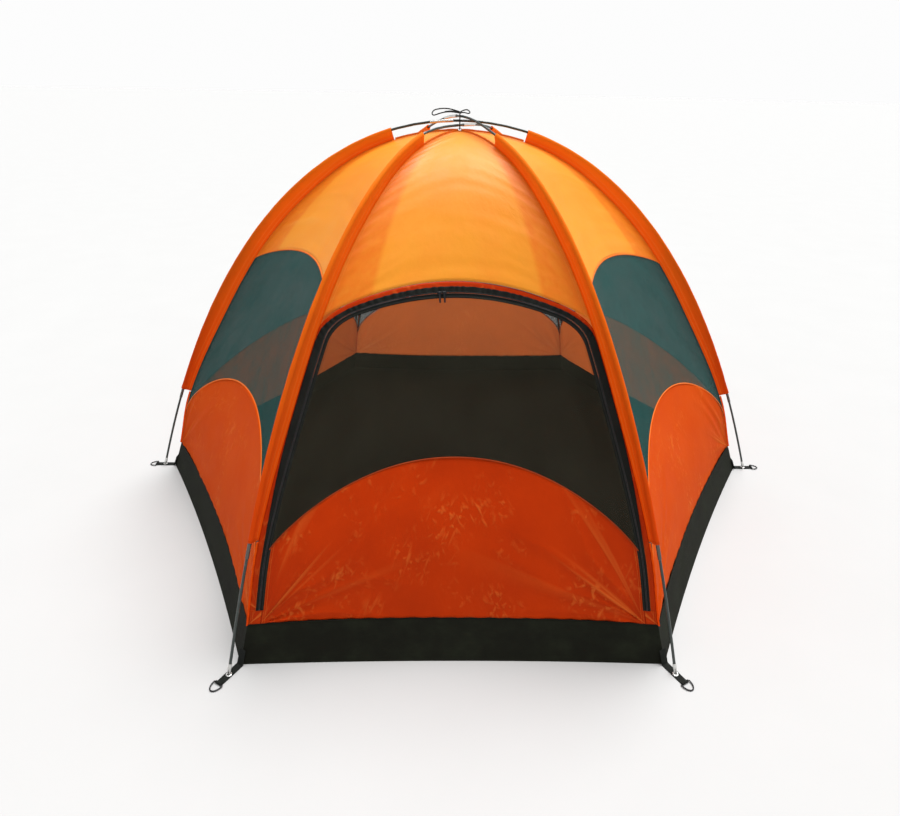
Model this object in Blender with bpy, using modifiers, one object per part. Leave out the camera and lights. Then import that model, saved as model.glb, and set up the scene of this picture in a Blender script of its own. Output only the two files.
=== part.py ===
"""Dome tent with a six-cornered floor, three crossing fibreglass poles and a zipped mesh door.

The floor lies on the ground plane with its centre at the origin. Corners stand every 60 degrees
from +X, and the door faces -Y. Each pole runs from one corner over the crown to the opposite one.
"""
import math

import bmesh
import bpy
from mathutils import Matrix, Vector

# Driving dimensions, in metres
FOOT_RADIUS = 1.25                   # circle that the six pole tips stand on
CROWN_HEIGHT = 1.388                 # centre line of the middle pole where the poles cross
FOOT_LEAN = math.radians(19.1)       # how far a pole leans inwards at its foot
FOOT_HANDLE = 0.45                   # length of the profile's straight pull at the foot
CROWN_HANDLE = 0.747                 # length of its level pull at the crown
POLE_STACK = 0.0145                  # step in height from one pole to the next at the crossing
STACK_REACH = 0.25                   # the step fades out at this distance from the axis

ROD_R = 0.0041
FERRULE_R = 0.0053
SOCKET_R = 0.0046
FERRULE_LENGTH = 0.080
CROWN_JOINT = 0.062                  # distance from the axis to the joint under a crown ferrule
BUTT_GAP = 0.0005                    # between the ends of two rods, or a rod and its socket's floor
FERRULE_FOOT = 0.322                 # height where a leg's glued ferrule starts
SOCKET_FOOT = 0.357                  # height where its socket starts
FERRULE_TOP = 0.397
PIN_R = 0.0022
PIN_FOOT = 0.0012
SHOULDER = 0.0052

TUB_HEIGHT = 0.108
TUB_FOOT_RADIUS = 1.208
TUB_BOW_FRONT = 0.012                # how far the floor's edge curves in between corners
TUB_BOW = 0.018
CLOTH = 0.0015                       # thickness of every sewn sheet
SEAM_GAP = 0.0026                    # cloth edge to the corner's middle plane
JOIN_GAP = 0.0010                    # half the gap where two sheets of one side meet
APEX_RADIUS = 0.022                  # the gores stop here, around the apex tape

# Distance from a pole's centre line in to the canopy seam, by height
FIN_WIDTHS = ((0.0, 0.050), (0.108, 0.046), (0.33, 0.031), (0.75, 0.050), (1.15, 0.045), (1.355, 0.033))
# How far a side's cloth curves in between its two seams, by height
BOWS = ((0.0, 0.028), (0.108, 0.028), (0.5, 0.045), (1.0, 0.038), (1.356, 0.0))

LOWER_APEX = 0.540                   # arch between the lower panel and the mesh
LOWER_SPRING = 0.238
UPPER_APEX = 0.984                   # arch between the mesh and the canopy gore
UPPER_SPRING = 0.900

SLEEVE_FOOT = 0.362
SLEEVE_CROWN = 0.235                 # distance from the axis where a sleeve ends
SLEEVE_R = 0.0068
CHANNEL_R = 0.0060
POCKET_DEPTH = 0.026
WEB = 0.0016

ZIP_FOOT = 0.150
ZIP_CORNER = 0.055
FRAME_EDGE = 0.0030                  # seam to the outer edge of the strip outside the zip
ZIP_LINE = 0.0270                    # seam to the line where the zip's two halves meet
DOOR_EDGE = 0.0345                   # seam to the edge of the door's cloth
ZIP_GAP = 0.0004
ZIP_DROP = 1.1                       # drop below the upper arch for each metre of inset
DOOR_DROP = 1.12                     # the same for the edge of the door's cloth
CORNER_DROP = 0.8                    # how far the door's rounded corners fall, as a share of ZIP_CORNER
DOOR_SHARE = 0.945                   # the door's edge as a share of the side's half width
DOOR_FOOT_GAP = 0.0030               # tub's rim to the door's lower edge
DOOR_HINGE_Y = -1.010
DOOR_HINGE_Z = 0.1105

STRAP_WIDTH = 0.022
STRAP_THICK = 0.0016
STRAP_TAB = 0.045                    # how far its sewn end reaches up the tub's corner
EYE_RADIUS = 1.2840                  # distance from the axis to the ring's bar
EYE_OUTER = 0.0038
EYE_INNER = 0.0025
GROMMET_RADIUS = 1.2490
GROMMET_R = 0.0078
GROMMET_HOLE = 0.0042
GROMMET_TOP = 0.0032
RING_WIRE = 0.0019
RING_REACH = 0.0270
RING_HALF = 0.0155
RING_TURN_R = 0.0035

SLIDER = (0.0130, 0.0100, 0.0030)    # along the zip, across it, and thick
SLIDER_LIFT = 0.0022                 # zip surface to the slider's back
SLIDER_MEET = -0.045                 # offset of the place where the two sliders meet
BRIDGE_R = 0.0009
BRIDGE_RISE = 0.0034
BRIDGE_SPAN = 0.0096
PULL_WIDTH = 0.0052
PULL_LENGTH = 0.030
PULL_THICK = 0.0012
PULL_EYE = (0.0022, 0.0014)
PULL_TILT = math.radians(9)          # the pull's free end leans towards the cloth

TIE_R = 0.0020
KNOT_R = 0.0058
KNOT_HEIGHT = 1.4138
WRAP_HALF = 0.0180                   # half width of the tie's turn around the crossing
WRAP_LOW = 1.3605
BOW_START = (0.0030, 0.0028)         # where a loop leaves the knot: out from its centre, and aside
# reach, end radius, tilt, rise, droop, lean and side of each loop of the bow
BIG_BOW = (0.0945, 0.0115, math.radians(45), 0.0095, 0.06, 0.09, -1)
SMALL_BOW = (0.0340, 0.0092, math.radians(35), 0.0040, 0.0, 0.06, 1)
TAPE_R = 0.0098
TAPE_HEIGHT = 1.3545
TAPE_WIDTH = 0.008
TAPE_THICK = 0.0012

SIDES = ("rear_right", "rear", "rear_left", "front_left", "front", "front_right")
CORNERS = ("right", "rear_right", "rear_left", "left", "front_left", "front_right")
FRONT = SIDES.index("front")
POLE_STEPS = (0, -1, 1)              # middle, lowest and highest pole, by corner number modulo 3
JOINT_CORNERS = (3, 1, 2)            # the side of the crossing that carries each crown ferrule
COS30 = math.cos(math.radians(30))


def clear_scene():
    for thing in list(bpy.data.objects):
        bpy.data.objects.remove(thing, do_unlink=True)


def new_collection(name):
    collection = bpy.data.collections.new(name)
    bpy.context.scene.collection.children.link(collection)
    return collection


clear_scene()
TENT = new_collection("dome_tent")
CUTTERS = new_collection("cutters")


def material(name, colour, roughness, metallic=0.0):
    found = bpy.data.materials.get(name)
    if found:
        return found
    made = bpy.data.materials.new(name)
    made.use_nodes = True
    shader = made.node_tree.nodes["Principled BSDF"]
    shader.inputs["Base Color"].default_value = (*colour, 1.0)
    shader.inputs["Roughness"].default_value = roughness
    shader.inputs["Metallic"].default_value = metallic
    made.diffuse_color = (*colour, 1.0)
    return made


def gore_cloth():
    return material("gore_cloth", (0.90, 0.33, 0.05), 0.55)


def lower_cloth():
    return material("lower_cloth", (0.62, 0.11, 0.02), 0.6)


def sleeve_cloth():
    return material("sleeve_cloth", (0.80, 0.13, 0.02), 0.55)


def mesh_cloth():
    return material("mesh_cloth", (0.02, 0.05, 0.05), 0.8)


def tub_cloth():
    return material("tub_cloth", (0.02, 0.025, 0.02), 0.6)


def webbing():
    return material("webbing", (0.012, 0.015, 0.013), 0.75)


def zip_tape():
    return material("zip_tape", (0.01, 0.01, 0.01), 0.7)


def fibreglass():
    return material("fibreglass", (0.012, 0.03, 0.025), 0.3)


def steel():
    return material("steel", (0.62, 0.62, 0.6), 0.3, 1.0)


def black_metal():
    return material("black_metal", (0.02, 0.02, 0.022), 0.4, 1.0)


# Helpers for numbers

def solve(function, low, high, target):
    """Argument between low and high where a rising or falling function meets the target."""
    rising = function(high) > function(low)
    for _ in range(50):
        middle = (low + high) / 2
        if (function(middle) < target) == rising:
            low = middle
        else:
            high = middle
    return (low + high) / 2


def read_table(table, x):
    """Smooth reading between the (place, value) pairs of a table."""
    for (x0, y0), (x1, y1) in zip(table, table[1:]):
        if x <= x1:
            part = max(0.0, (x - x0) / (x1 - x0))
            return y0 + (y1 - y0) * part * part * (3 - 2 * part)
    return table[-1][1]


def spread(count, ease=0.0):
    """Evenly spaced values from -1 to 1, drawn towards both ends by the ease."""
    places = [-1 + 2 * i / count for i in range(count + 1)]
    return [(1 - ease) * p + ease * math.sin(math.pi / 2 * p) for p in places]


COLUMNS = spread(10, 0.6)            # places across a side where its sheets have points


# The pole's profile, and the canopy surface that hangs inside it

def pole_profile(t):
    """(radius, height) of a pole's centre line: t is 0 at the foot and 1 at the crown."""
    points = (
        (FOOT_RADIUS, 0.0),
        (FOOT_RADIUS - FOOT_HANDLE * math.sin(FOOT_LEAN), FOOT_HANDLE * math.cos(FOOT_LEAN)),
        (CROWN_HANDLE, CROWN_HEIGHT),
        (0.0, CROWN_HEIGHT),
    )
    weights = ((1 - t) ** 3, 3 * (1 - t) ** 2 * t, 3 * (1 - t) * t * t, t ** 3)
    radius = sum(w * p[0] for w, p in zip(weights, points))
    height = sum(w * p[1] for w, p in zip(weights, points))
    return radius, height


def profile_normal(t):
    """Outward unit normal of the profile, as (radius, height)."""
    step = 1e-4
    before = pole_profile(max(0.0, t - step))
    after = pole_profile(min(1.0, t + step))
    normal = Vector((after[1] - before[1], before[0] - after[0]))
    normal.normalize()
    return normal


def seam_profile(t):
    """(radius, height) of the seam that a pole's fin is sewn to."""
    radius, height = pole_profile(t)
    normal = profile_normal(t)
    width = read_table(FIN_WIDTHS, height)
    return radius - normal.x * width, height - normal.y * width


def pole_station(height):
    return solve(lambda t: pole_profile(t)[1], 0.0, 0.97, height)


def pole_station_at_radius(radius):
    return solve(lambda t: pole_profile(t)[0], 0.0, 1.0, radius)


def seam_station(height):
    return solve(lambda t: seam_profile(t)[1], 0.0, 0.99, height)


APEX_STATION = solve(lambda t: seam_profile(t)[0], 0.5, 1.0, APEX_RADIUS)


def corner_direction(corner):
    angle = math.radians(60 * corner)
    return Vector((math.cos(angle), math.sin(angle), 0.0))


def pole_point(corner, t):
    """Centre line of a corner's pole, raised or lowered near the crossing."""
    radius, height = pole_profile(t)
    fade = max(0.0, 1 - (radius / STACK_REACH) ** 2) ** 2
    point = corner_direction(corner) * radius
    point.z = height + POLE_STEPS[corner % 3] * POLE_STACK * fade
    return point


def pole_path(corner, s):
    """The same line carried on over the crown: s is 1 at the crossing and 2 at the far foot."""
    if s <= 1:
        return pole_point(corner, s)
    return pole_point(corner + 3, 2 - s)


def pole_axes(corner, s):
    """Outward and sideways directions across a pole at s."""
    tangent = pole_path(corner, s + 1e-4) - pole_path(corner, s - 1e-4)
    tangent.normalize()
    sideways = Vector((0, 0, 1)).cross(corner_direction(corner))
    outward = sideways.cross(tangent)
    return outward.normalized(), sideways


def side_axes(side):
    angle = math.radians(60 * side + 30)
    outward = Vector((math.cos(angle), math.sin(angle), 0.0))
    return outward, Vector((-outward.y, outward.x, 0.0))


def side_point(side, offset, t):
    """Point of a side's cloth, offset sideways from its middle, level with seam station t."""
    radius, height = seam_profile(t)
    outward, along = side_axes(side)
    across = offset / (radius / 2)
    distance = radius * COS30 - read_table(BOWS, height) * (1 - across * across)
    return outward * distance + along * offset + Vector((0, 0, height))


def lower_arch(across):
    rise = max(0.0, 1 - abs(across) ** 2.1) ** 0.58
    return LOWER_SPRING + (LOWER_APEX - LOWER_SPRING) * rise


def upper_arch(across):
    rise = max(0.0, 1 - across * across) ** 0.8
    return UPPER_SPRING + (UPPER_APEX - UPPER_SPRING) * rise


# Helpers for objects

def add_object(name, data, finish, collection=None):
    thing = bpy.data.objects.new(name, data)
    (collection or TENT).objects.link(thing)
    if finish:
        data.materials.append(finish)
    return thing


def centre_origin(thing, origin):
    """Move an object's origin to a joint's axis, and leave its shape where it is."""
    thing.data.transform(Matrix.Translation(-origin))
    thing.location = origin


def skin(name, rings, finish, closed=False):
    """Skin equal rings of points, with flat ends unless the loft closes on itself."""
    bm = bmesh.new()
    loops = [[bm.verts.new(p) for p in ring] for ring in rings]
    pairs = list(zip(loops, loops[1:]))
    if closed:
        pairs.append((loops[-1], loops[0]))
    for a, b in pairs:
        for i in range(len(a)):
            j = (i + 1) % len(a)
            bm.faces.new((a[i], a[j], b[j], b[i]))
    if not closed:
        bm.faces.new(loops[0])
        bm.faces.new(loops[-1])
    bmesh.ops.recalc_face_normals(bm, faces=bm.faces)
    data = bpy.data.meshes.new(name)
    bm.to_mesh(data)
    bm.free()
    data.shade_smooth()
    data.set_sharp_from_angle(angle=math.radians(40))
    return add_object(name, data, finish)


def sheet(name, grid, finish, thickness=CLOTH):
    """Cloth of even thickness from rows of points."""
    bm = bmesh.new()
    rows = [[bm.verts.new(p) for p in row] for row in grid]
    for a, b in zip(rows, rows[1:]):
        for i in range(len(a) - 1):
            bm.faces.new((a[i], a[i + 1], b[i + 1], b[i]))
    data = bpy.data.meshes.new(name)
    bm.to_mesh(data)
    bm.free()
    data.shade_smooth()
    thing = add_object(name, data, finish)
    solid = thing.modifiers.new("thickness", "SOLIDIFY")
    solid.thickness = thickness
    solid.offset = 0.0
    solid.use_even_offset = True
    return thing


def circle(centre, outward, sideways, radius, count):
    angles = [2 * math.pi * i / count for i in range(count)]
    return [centre + radius * (math.cos(a) * outward + math.sin(a) * sideways) for a in angles]


# Cloth sides

def side_grid(side, spread_columns, rows, bottom, top, edge):
    """Rows of points between two heights, each a function of how far across the side it is."""
    grid = []
    for row in range(rows + 1):
        line = []
        for across in spread_columns:
            low = seam_station(bottom(across))
            high = APEX_STATION if top is None else seam_station(top(across))
            t = low + (high - low) * row / rows
            half = seam_profile(t)[0] / 2 - edge
            line.append(side_point(side, across * half, t))
        grid.append(line)
    return grid


def make_canopy_gores():
    for side, name in enumerate(SIDES):
        grid = side_grid(side, COLUMNS, 7, lambda a: upper_arch(a) + JOIN_GAP, None, SEAM_GAP)
        sheet("canopy_gore_" + name, grid, gore_cloth())


def make_window_meshes():
    for side, name in enumerate(SIDES):
        if side == FRONT:
            continue
        grid = side_grid(side, COLUMNS, 5, lambda a: lower_arch(a) + JOIN_GAP,
                         lambda a: upper_arch(a) - JOIN_GAP, SEAM_GAP)
        sheet("window_mesh_" + name, grid, mesh_cloth())


def make_lower_panels():
    for side, name in enumerate(SIDES):
        if side == FRONT:
            continue
        grid = side_grid(side, COLUMNS, 3, lambda a: TUB_HEIGHT + 2 * JOIN_GAP,
                         lambda a: lower_arch(a) - JOIN_GAP, SEAM_GAP)
        sheet("lower_panel_" + name, grid, lower_cloth())


# Bathtub floor

def tub_edge_point(side, across, height):
    """Point of the tub's wall, which slopes out towards the ground."""
    if height >= TUB_HEIGHT:
        t = seam_station(TUB_HEIGHT)
        return side_point(side, across * seam_profile(t)[0] / 2, t)
    outward, along = side_axes(side)
    bow = TUB_BOW_FRONT if side == FRONT else TUB_BOW
    distance = TUB_FOOT_RADIUS * COS30 - bow * (1 - across * across)
    return outward * distance + along * (across * TUB_FOOT_RADIUS / 2)


def make_bathtub_floor():
    """Open tray: a flat floor whose edge turns up into a low wall on every side."""
    steps = [-1 + i / 3 for i in range(6)]
    places = [(side, across) for side in range(6) for across in steps]
    foot = [tub_edge_point(side, across, 0.0) for side, across in places]
    rim = [tub_edge_point(side, across, TUB_HEIGHT) for side, across in places]
    bm = bmesh.new()
    foot_verts = [bm.verts.new(p) for p in foot]
    middle_verts = [bm.verts.new(a.lerp(b, 0.5)) for a, b in zip(foot, rim)]
    rim_verts = [bm.verts.new(p) for p in rim]
    for lower, upper in ((foot_verts, middle_verts), (middle_verts, rim_verts)):
        for i in range(len(lower)):
            j = (i + 1) % len(lower)
            bm.faces.new((lower[i], lower[j], upper[j], upper[i]))
    centre = bm.verts.new((0, 0, 0))
    for i in range(len(foot_verts)):
        bm.faces.new((foot_verts[(i + 1) % len(foot_verts)], foot_verts[i], centre))
    data = bpy.data.meshes.new("bathtub_floor")
    bm.to_mesh(data)
    bm.free()
    thing = add_object("bathtub_floor", data, tub_cloth())
    solid = thing.modifiers.new("thickness", "SOLIDIFY")
    solid.thickness = CLOTH
    solid.offset = -1.0
    solid.use_even_offset = True


# Poles

def make_leg(corner):
    """Lowest pole section: a tip pin, the rod and the glued ferrule with its open socket."""
    profile = (
        (PIN_FOOT, PIN_R), (SHOULDER - 0.0002, PIN_R), (SHOULDER, ROD_R), (0.10, ROD_R), (0.20, ROD_R),
        (FERRULE_FOOT, ROD_R), (FERRULE_FOOT + 0.0006, FERRULE_R), (SOCKET_FOOT, FERRULE_R),
        (FERRULE_TOP, FERRULE_R), (FERRULE_TOP, SOCKET_R), (SOCKET_FOOT, SOCKET_R),
    )
    rings = []
    for height, radius in profile:
        s = pole_station(height)
        outward, sideways = pole_axes(corner, s)
        rings.append(circle(pole_path(corner, s), outward, sideways, radius, 10))
    skin("pole_leg_" + CORNERS[corner], rings, fibreglass())


def sleeve_stations():
    low = pole_station(SLEEVE_FOOT)
    high = pole_station_at_radius(SLEEVE_CROWN)
    return [low + (high - low) * i / 11 for i in range(12)]


def crown_stations(corner):
    """Places along a rod from its sleeve to its joint, shared with the ferrule around it."""
    outer = CROWN_JOINT + FERRULE_LENGTH / 2
    inner = CROWN_JOINT - FERRULE_LENGTH / 2
    own_side = [0.215, 0.158, outer]
    far_side = []
    if corner in JOINT_CORNERS:
        own_side.append(CROWN_JOINT + BUTT_GAP)
    else:
        own_side += [CROWN_JOINT, inner]
        far_side = [inner, CROWN_JOINT - BUTT_GAP]
    stations = [pole_station_at_radius(radius) for radius in own_side]
    return stations + [2 - pole_station_at_radius(radius) for radius in far_side]


def make_rod(corner):
    """Rod from the leg's socket through the sleeve to the joint near the crown."""
    stations = [pole_station(SOCKET_FOOT + BUTT_GAP)] + sleeve_stations() + crown_stations(corner)
    curve = bpy.data.curves.new("pole_rod_" + CORNERS[corner], "CURVE")
    curve.dimensions = "3D"
    curve.bevel_depth = ROD_R
    curve.bevel_resolution = 2
    curve.use_fill_caps = True
    spline = curve.splines.new("POLY")
    spline.points.add(len(stations) - 1)
    for point, s in zip(spline.points, stations):
        point.co = (*pole_path(corner, s), 1.0)
    add_object(curve.name, curve, fibreglass())


def make_crown_ferrule(corner):
    """Open metal tube over the joint between two rods beside the crossing."""
    half = FERRULE_LENGTH / 2
    stations = [pole_station_at_radius(CROWN_JOINT + step * half) for step in (1, 0, -1)]
    rings = []
    for radius, places in ((FERRULE_R, stations), (SOCKET_R, stations[::-1])):
        for s in places:
            outward, sideways = pole_axes(corner, s)
            rings.append(circle(pole_path(corner, s), outward, sideways, radius, 12))
    skin("crown_ferrule_" + CORNERS[corner], rings, steel(), closed=True)


def sleeve_outline(centre, outward, sideways, width):
    """Teardrop around the pole, with a flat web in to the canopy's seam."""
    def place(out, side):
        return centre + outward * out + sideways * side
    angles = [math.radians(a) for a in (-100, -60, -20, 20, 60, 100)]
    outline = [place(SLEEVE_R * math.cos(a), SLEEVE_R * math.sin(a)) for a in angles]
    half = WEB / 2
    outline += [place(-POCKET_DEPTH, half), place(0.0006 - width, half)]
    outline += [place(0.0006 - width, -half), place(-POCKET_DEPTH, -half)]
    return outline


def make_sleeve(corner):
    """Pole pocket and the web that stands off the canopy, in one sewn piece."""
    outer = []
    inner = []
    for s in sleeve_stations():
        outward, sideways = pole_axes(corner, s)
        centre = pole_path(corner, s)
        width = read_table(FIN_WIDTHS, pole_profile(s)[1])
        outer.append(sleeve_outline(centre, outward, sideways, width))
        first = math.radians(-100)
        angles = [first + math.radians(36) * i for i in range(10)]
        inner.append([centre + CHANNEL_R * (math.cos(a) * outward + math.sin(a) * sideways)
                      for a in angles])
    skin("pole_sleeve_" + CORNERS[corner], outer + inner[::-1], sleeve_cloth(), closed=True)


# Door

def door_line(inset):
    """(offset, station) points along the zip, at an inset from the seams and the upper arch."""
    half_width = seam_profile(seam_station(UPPER_SPRING))[0] / 2
    side_top = UPPER_SPRING - inset - 0.5 * ZIP_CORNER
    arch_end = 1 - (inset + ZIP_CORNER) / half_width
    left = []
    for i in range(6):
        t = seam_station(ZIP_FOOT + (side_top - ZIP_FOOT) * i / 5)
        left.append((-(seam_profile(t)[0] / 2 - inset), t))
    t = seam_station(upper_arch(1 - inset / half_width) - ZIP_DROP * inset)
    corner = Vector((-(seam_profile(t)[0] / 2 - inset), t))
    t = seam_station(upper_arch(arch_end) - ZIP_DROP * inset)
    start = Vector(left[-1])
    finish = Vector((-arch_end * seam_profile(t)[0] / 2, t))
    for i in range(1, 4):
        p = i / 4
        left.append(tuple((1 - p) ** 2 * start + 2 * p * (1 - p) * corner + p * p * finish))
    arch = []
    for i in range(9):
        across = arch_end * (-1 + i / 4)
        t = seam_station(upper_arch(across) - ZIP_DROP * inset)
        arch.append((across * seam_profile(t)[0] / 2, t))
    right = [(-offset, t) for offset, t in reversed(left)]
    return left + arch + right


def band(name, outer_inset, inner_inset, finish):
    """Cloth strip along the zip between two insets."""
    grid = [[side_point(FRONT, offset, t) for offset, t in door_line(inset)]
            for inset in (outer_inset, inner_inset)]
    return sheet(name, grid, finish)


def door_half(t):
    return seam_profile(t)[0] / 2 - DOOR_EDGE


def door_top(across):
    """Height of the door cloth's upper edge, with rounded corners."""
    reach = seam_profile(seam_station(UPPER_SPRING))[0] / 2
    inner = reach - DOOR_EDGE
    offset = abs(across) * inner
    height = upper_arch(offset / reach) - DOOR_DROP * DOOR_EDGE
    past = max(0.0, offset - (inner - ZIP_CORNER)) / ZIP_CORNER
    return height - CORNER_DROP * ZIP_CORNER * (1 - math.sqrt(max(0.0, 1 - past * past)))


def door_grid(columns, rows, bottom, top):
    grid = []
    for row in range(rows + 1):
        line = []
        for across in columns:
            low = seam_station(bottom(across))
            high = seam_station(top(across))
            t = low + (high - low) * row / rows
            line.append(side_point(FRONT, across * door_half(t), t))
        grid.append(line)
    return grid


def make_door():
    hinge = Vector((0, DOOR_HINGE_Y, DOOR_HINGE_Z))
    columns = spread(12, 0.75)
    lower = door_grid(columns, 3, lambda a: TUB_HEIGHT + DOOR_FOOT_GAP,
                      lambda a: lower_arch(a * DOOR_SHARE) - JOIN_GAP)
    mesh = door_grid(columns, 5, lambda a: lower_arch(a * DOOR_SHARE) + JOIN_GAP, door_top)
    pieces = [
        sheet("door_lower_panel", lower, lower_cloth()),
        sheet("door_mesh", mesh, mesh_cloth()),
        band("door_zip_tape", ZIP_LINE + ZIP_GAP, DOOR_EDGE - 2 * JOIN_GAP, zip_tape()),
    ]
    for piece in pieces:
        centre_origin(piece, hinge)
    band("frame_zip_strip", FRAME_EDGE, ZIP_LINE - ZIP_GAP, zip_tape())


# Webbing, rings and zip hardware

def arc(centre_x, centre_y, radius, start, finish, count):
    """Points on an arc in the plane, with angles in degrees."""
    angles = [math.radians(start + (finish - start) * i / count) for i in range(count + 1)]
    return [(centre_x + radius * math.cos(a), centre_y + radius * math.sin(a)) for a in angles]


def flat_mesh(name, outlines, thickness):
    """Mesh of flat outlines, where a second outline is a hole, with the given thickness about z = 0."""
    curve = bpy.data.curves.new(name, "CURVE")
    curve.dimensions = "2D"
    curve.fill_mode = "BOTH"
    curve.extrude = thickness / 2
    for outline in outlines:
        spline = curve.splines.new("POLY")
        spline.points.add(len(outline) - 1)
        for point, place in zip(spline.points, outline):
            point.co = (place[0], place[1], 0.0, 1.0)
        spline.use_cyclic_u = True
    return curve_mesh(name, curve)


def tube_mesh(name, points, radius, cyclic, resolution=2):
    """Mesh of a round tube along points."""
    curve = bpy.data.curves.new(name, "CURVE")
    curve.dimensions = "3D"
    curve.bevel_depth = radius
    curve.bevel_resolution = resolution
    curve.use_fill_caps = True
    spline = curve.splines.new("POLY")
    spline.points.add(len(points) - 1)
    for point, place in zip(spline.points, points):
        point.co = (*place, 1.0)
    spline.use_cyclic_u = cyclic
    return curve_mesh(name, curve)


def curve_mesh(name, curve):
    """Welded mesh of a curve, with the curve removed."""
    guide = bpy.data.objects.new(name + "_guide", curve)
    CUTTERS.objects.link(guide)
    bpy.context.view_layer.update()
    data = bpy.data.meshes.new_from_object(guide.evaluated_get(bpy.context.evaluated_depsgraph_get()))
    data.name = name
    bpy.data.objects.remove(guide, do_unlink=True)
    bm = bmesh.new()
    bm.from_mesh(data)
    bmesh.ops.remove_doubles(bm, verts=bm.verts, dist=0.00001)
    bmesh.ops.recalc_face_normals(bm, faces=bm.faces)
    bm.to_mesh(data)
    bm.free()
    return data


def primitive_mesh(name, maker, **sizes):
    bm = bmesh.new()
    maker(bm, **sizes)
    data = bpy.data.meshes.new(name)
    bm.to_mesh(data)
    bm.free()
    return data


def combine(name, base, steps):
    """Mesh of a base after each (operation, mesh) Boolean step."""
    main = bpy.data.objects.new(name + "_base", base)
    CUTTERS.objects.link(main)
    tools = []
    for operation, data in steps:
        tool = bpy.data.objects.new(name + "_tool", data)
        CUTTERS.objects.link(tool)
        tools.append(tool)
        cut = main.modifiers.new("step", "BOOLEAN")
        cut.operation = operation
        cut.object = tool
    bpy.context.view_layer.update()
    data = bpy.data.meshes.new_from_object(main.evaluated_get(bpy.context.evaluated_depsgraph_get()))
    data.name = name
    for thing in [main] + tools:
        bpy.data.objects.remove(thing, do_unlink=True)
    data.materials.clear()
    data.shade_smooth()
    data.set_sharp_from_angle(angle=math.radians(40))
    return data


def strap_mesh():
    """Webbing from the tub's corner to a folded eye, with a grommet for the pole's pin, along +X."""
    rim_radius = seam_profile(seam_station(TUB_HEIGHT))[0]
    climb = Vector((rim_radius - TUB_FOOT_RADIUS, TUB_HEIGHT)).normalized()
    away = Vector((climb.y, -climb.x))
    foot = Vector((TUB_FOOT_RADIUS, 0.0))
    inner = foot + away * 0.0007
    outer = inner + away * STRAP_THICK
    floor = 0.0002
    top = floor + STRAP_THICK
    eye_height = floor + EYE_OUTER
    meet = 180 + math.degrees(math.asin((eye_height - top) / EYE_OUTER))
    outline = [tuple(inner + climb * STRAP_TAB), (inner.x, floor)]
    outline += arc(EYE_RADIUS, eye_height, EYE_OUTER, -90, meet, 12)
    outline += [(outer.x + 0.0010, top), tuple(outer + climb * 0.004), tuple(outer + climb * STRAP_TAB)]
    hole = arc(EYE_RADIUS, eye_height, EYE_INNER, 0, 330, 11)
    data = flat_mesh("corner_strap", [outline, hole], STRAP_WIDTH)
    data.transform(Matrix.Rotation(math.radians(90), 4, "X"))
    place = Matrix.Translation((GROMMET_RADIUS, 0, (floor + GROMMET_TOP) / 2))
    grommet = primitive_mesh("grommet", bmesh.ops.create_cone, cap_ends=True, segments=20,
                             radius1=GROMMET_R, radius2=GROMMET_R, depth=GROMMET_TOP - floor, matrix=place)
    hole = primitive_mesh("hole", bmesh.ops.create_cone, cap_ends=True, segments=16,
                          radius1=GROMMET_HOLE, radius2=GROMMET_HOLE, depth=0.02, matrix=place)
    return combine("corner_strap", data, [("UNION", grommet), ("DIFFERENCE", hole)])


def ring_mesh():
    """Stake ring in the X-Y plane, with its straight bar on the Y axis."""
    straight = RING_HALF - RING_TURN_R
    path = [(0.0, -straight), (0.0, straight)]
    path += arc(RING_TURN_R, straight, RING_TURN_R, 180, 90, 3)[1:-1]
    reach = RING_REACH - RING_TURN_R
    for i in range(11):
        angle = math.radians(90 - 18 * i)
        path.append((RING_TURN_R + reach * math.cos(angle), RING_HALF * math.sin(angle)))
    path += arc(RING_TURN_R, -straight, RING_TURN_R, 270, 180, 3)[1:-1]
    data = tube_mesh("stake_ring", [(x, y, 0.0) for x, y in path], RING_WIRE, True)
    data.shade_smooth()
    return data


def make_corner_hardware():
    strap = strap_mesh()
    ring = ring_mesh()
    strap.materials.append(webbing())
    ring.materials.append(black_metal())
    eye_height = 0.0002 + EYE_OUTER
    tilt = math.asin((eye_height - RING_WIRE - 0.0002) / RING_REACH)
    for corner, name in enumerate(CORNERS):
        turn = math.radians(60 * corner)
        piece = add_object("corner_strap_" + name, strap, None)
        piece.rotation_euler = (0, 0, turn)
        piece = add_object("stake_ring_" + name, ring, None)
        piece.location = corner_direction(corner) * EYE_RADIUS + Vector((0, 0, eye_height))
        piece.rotation_euler = (0, tilt, turn)


def zip_circle():
    """Centre, axis and top point of the arc that the sliders travel on, just off the zip's face."""
    places = []
    for across in (-0.6, 0.0, 0.6):
        t = seam_station(upper_arch(across) - ZIP_DROP * ZIP_LINE)
        places.append(side_point(FRONT, across * seam_profile(t)[0] / 2, t))
    left, top, right = places
    axis = (left - top).cross(right - top).normalized()
    if axis.y > 0:
        axis.negate()
    chord = (right - left).length / 2
    rise = top - (left + right) / 2
    radius = (chord ** 2 + rise.length ** 2) / (2 * rise.length)
    centre = top - rise.normalized() * radius
    return centre, axis, top


def cloth_normal(side, offset, t):
    """Outward unit normal of a side's cloth."""
    step = 1e-3
    across = side_point(side, offset + step, t) - side_point(side, offset - step, t)
    up = side_point(side, offset, t + step) - side_point(side, offset, t - step)
    return across.cross(up).normalized()


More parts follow.
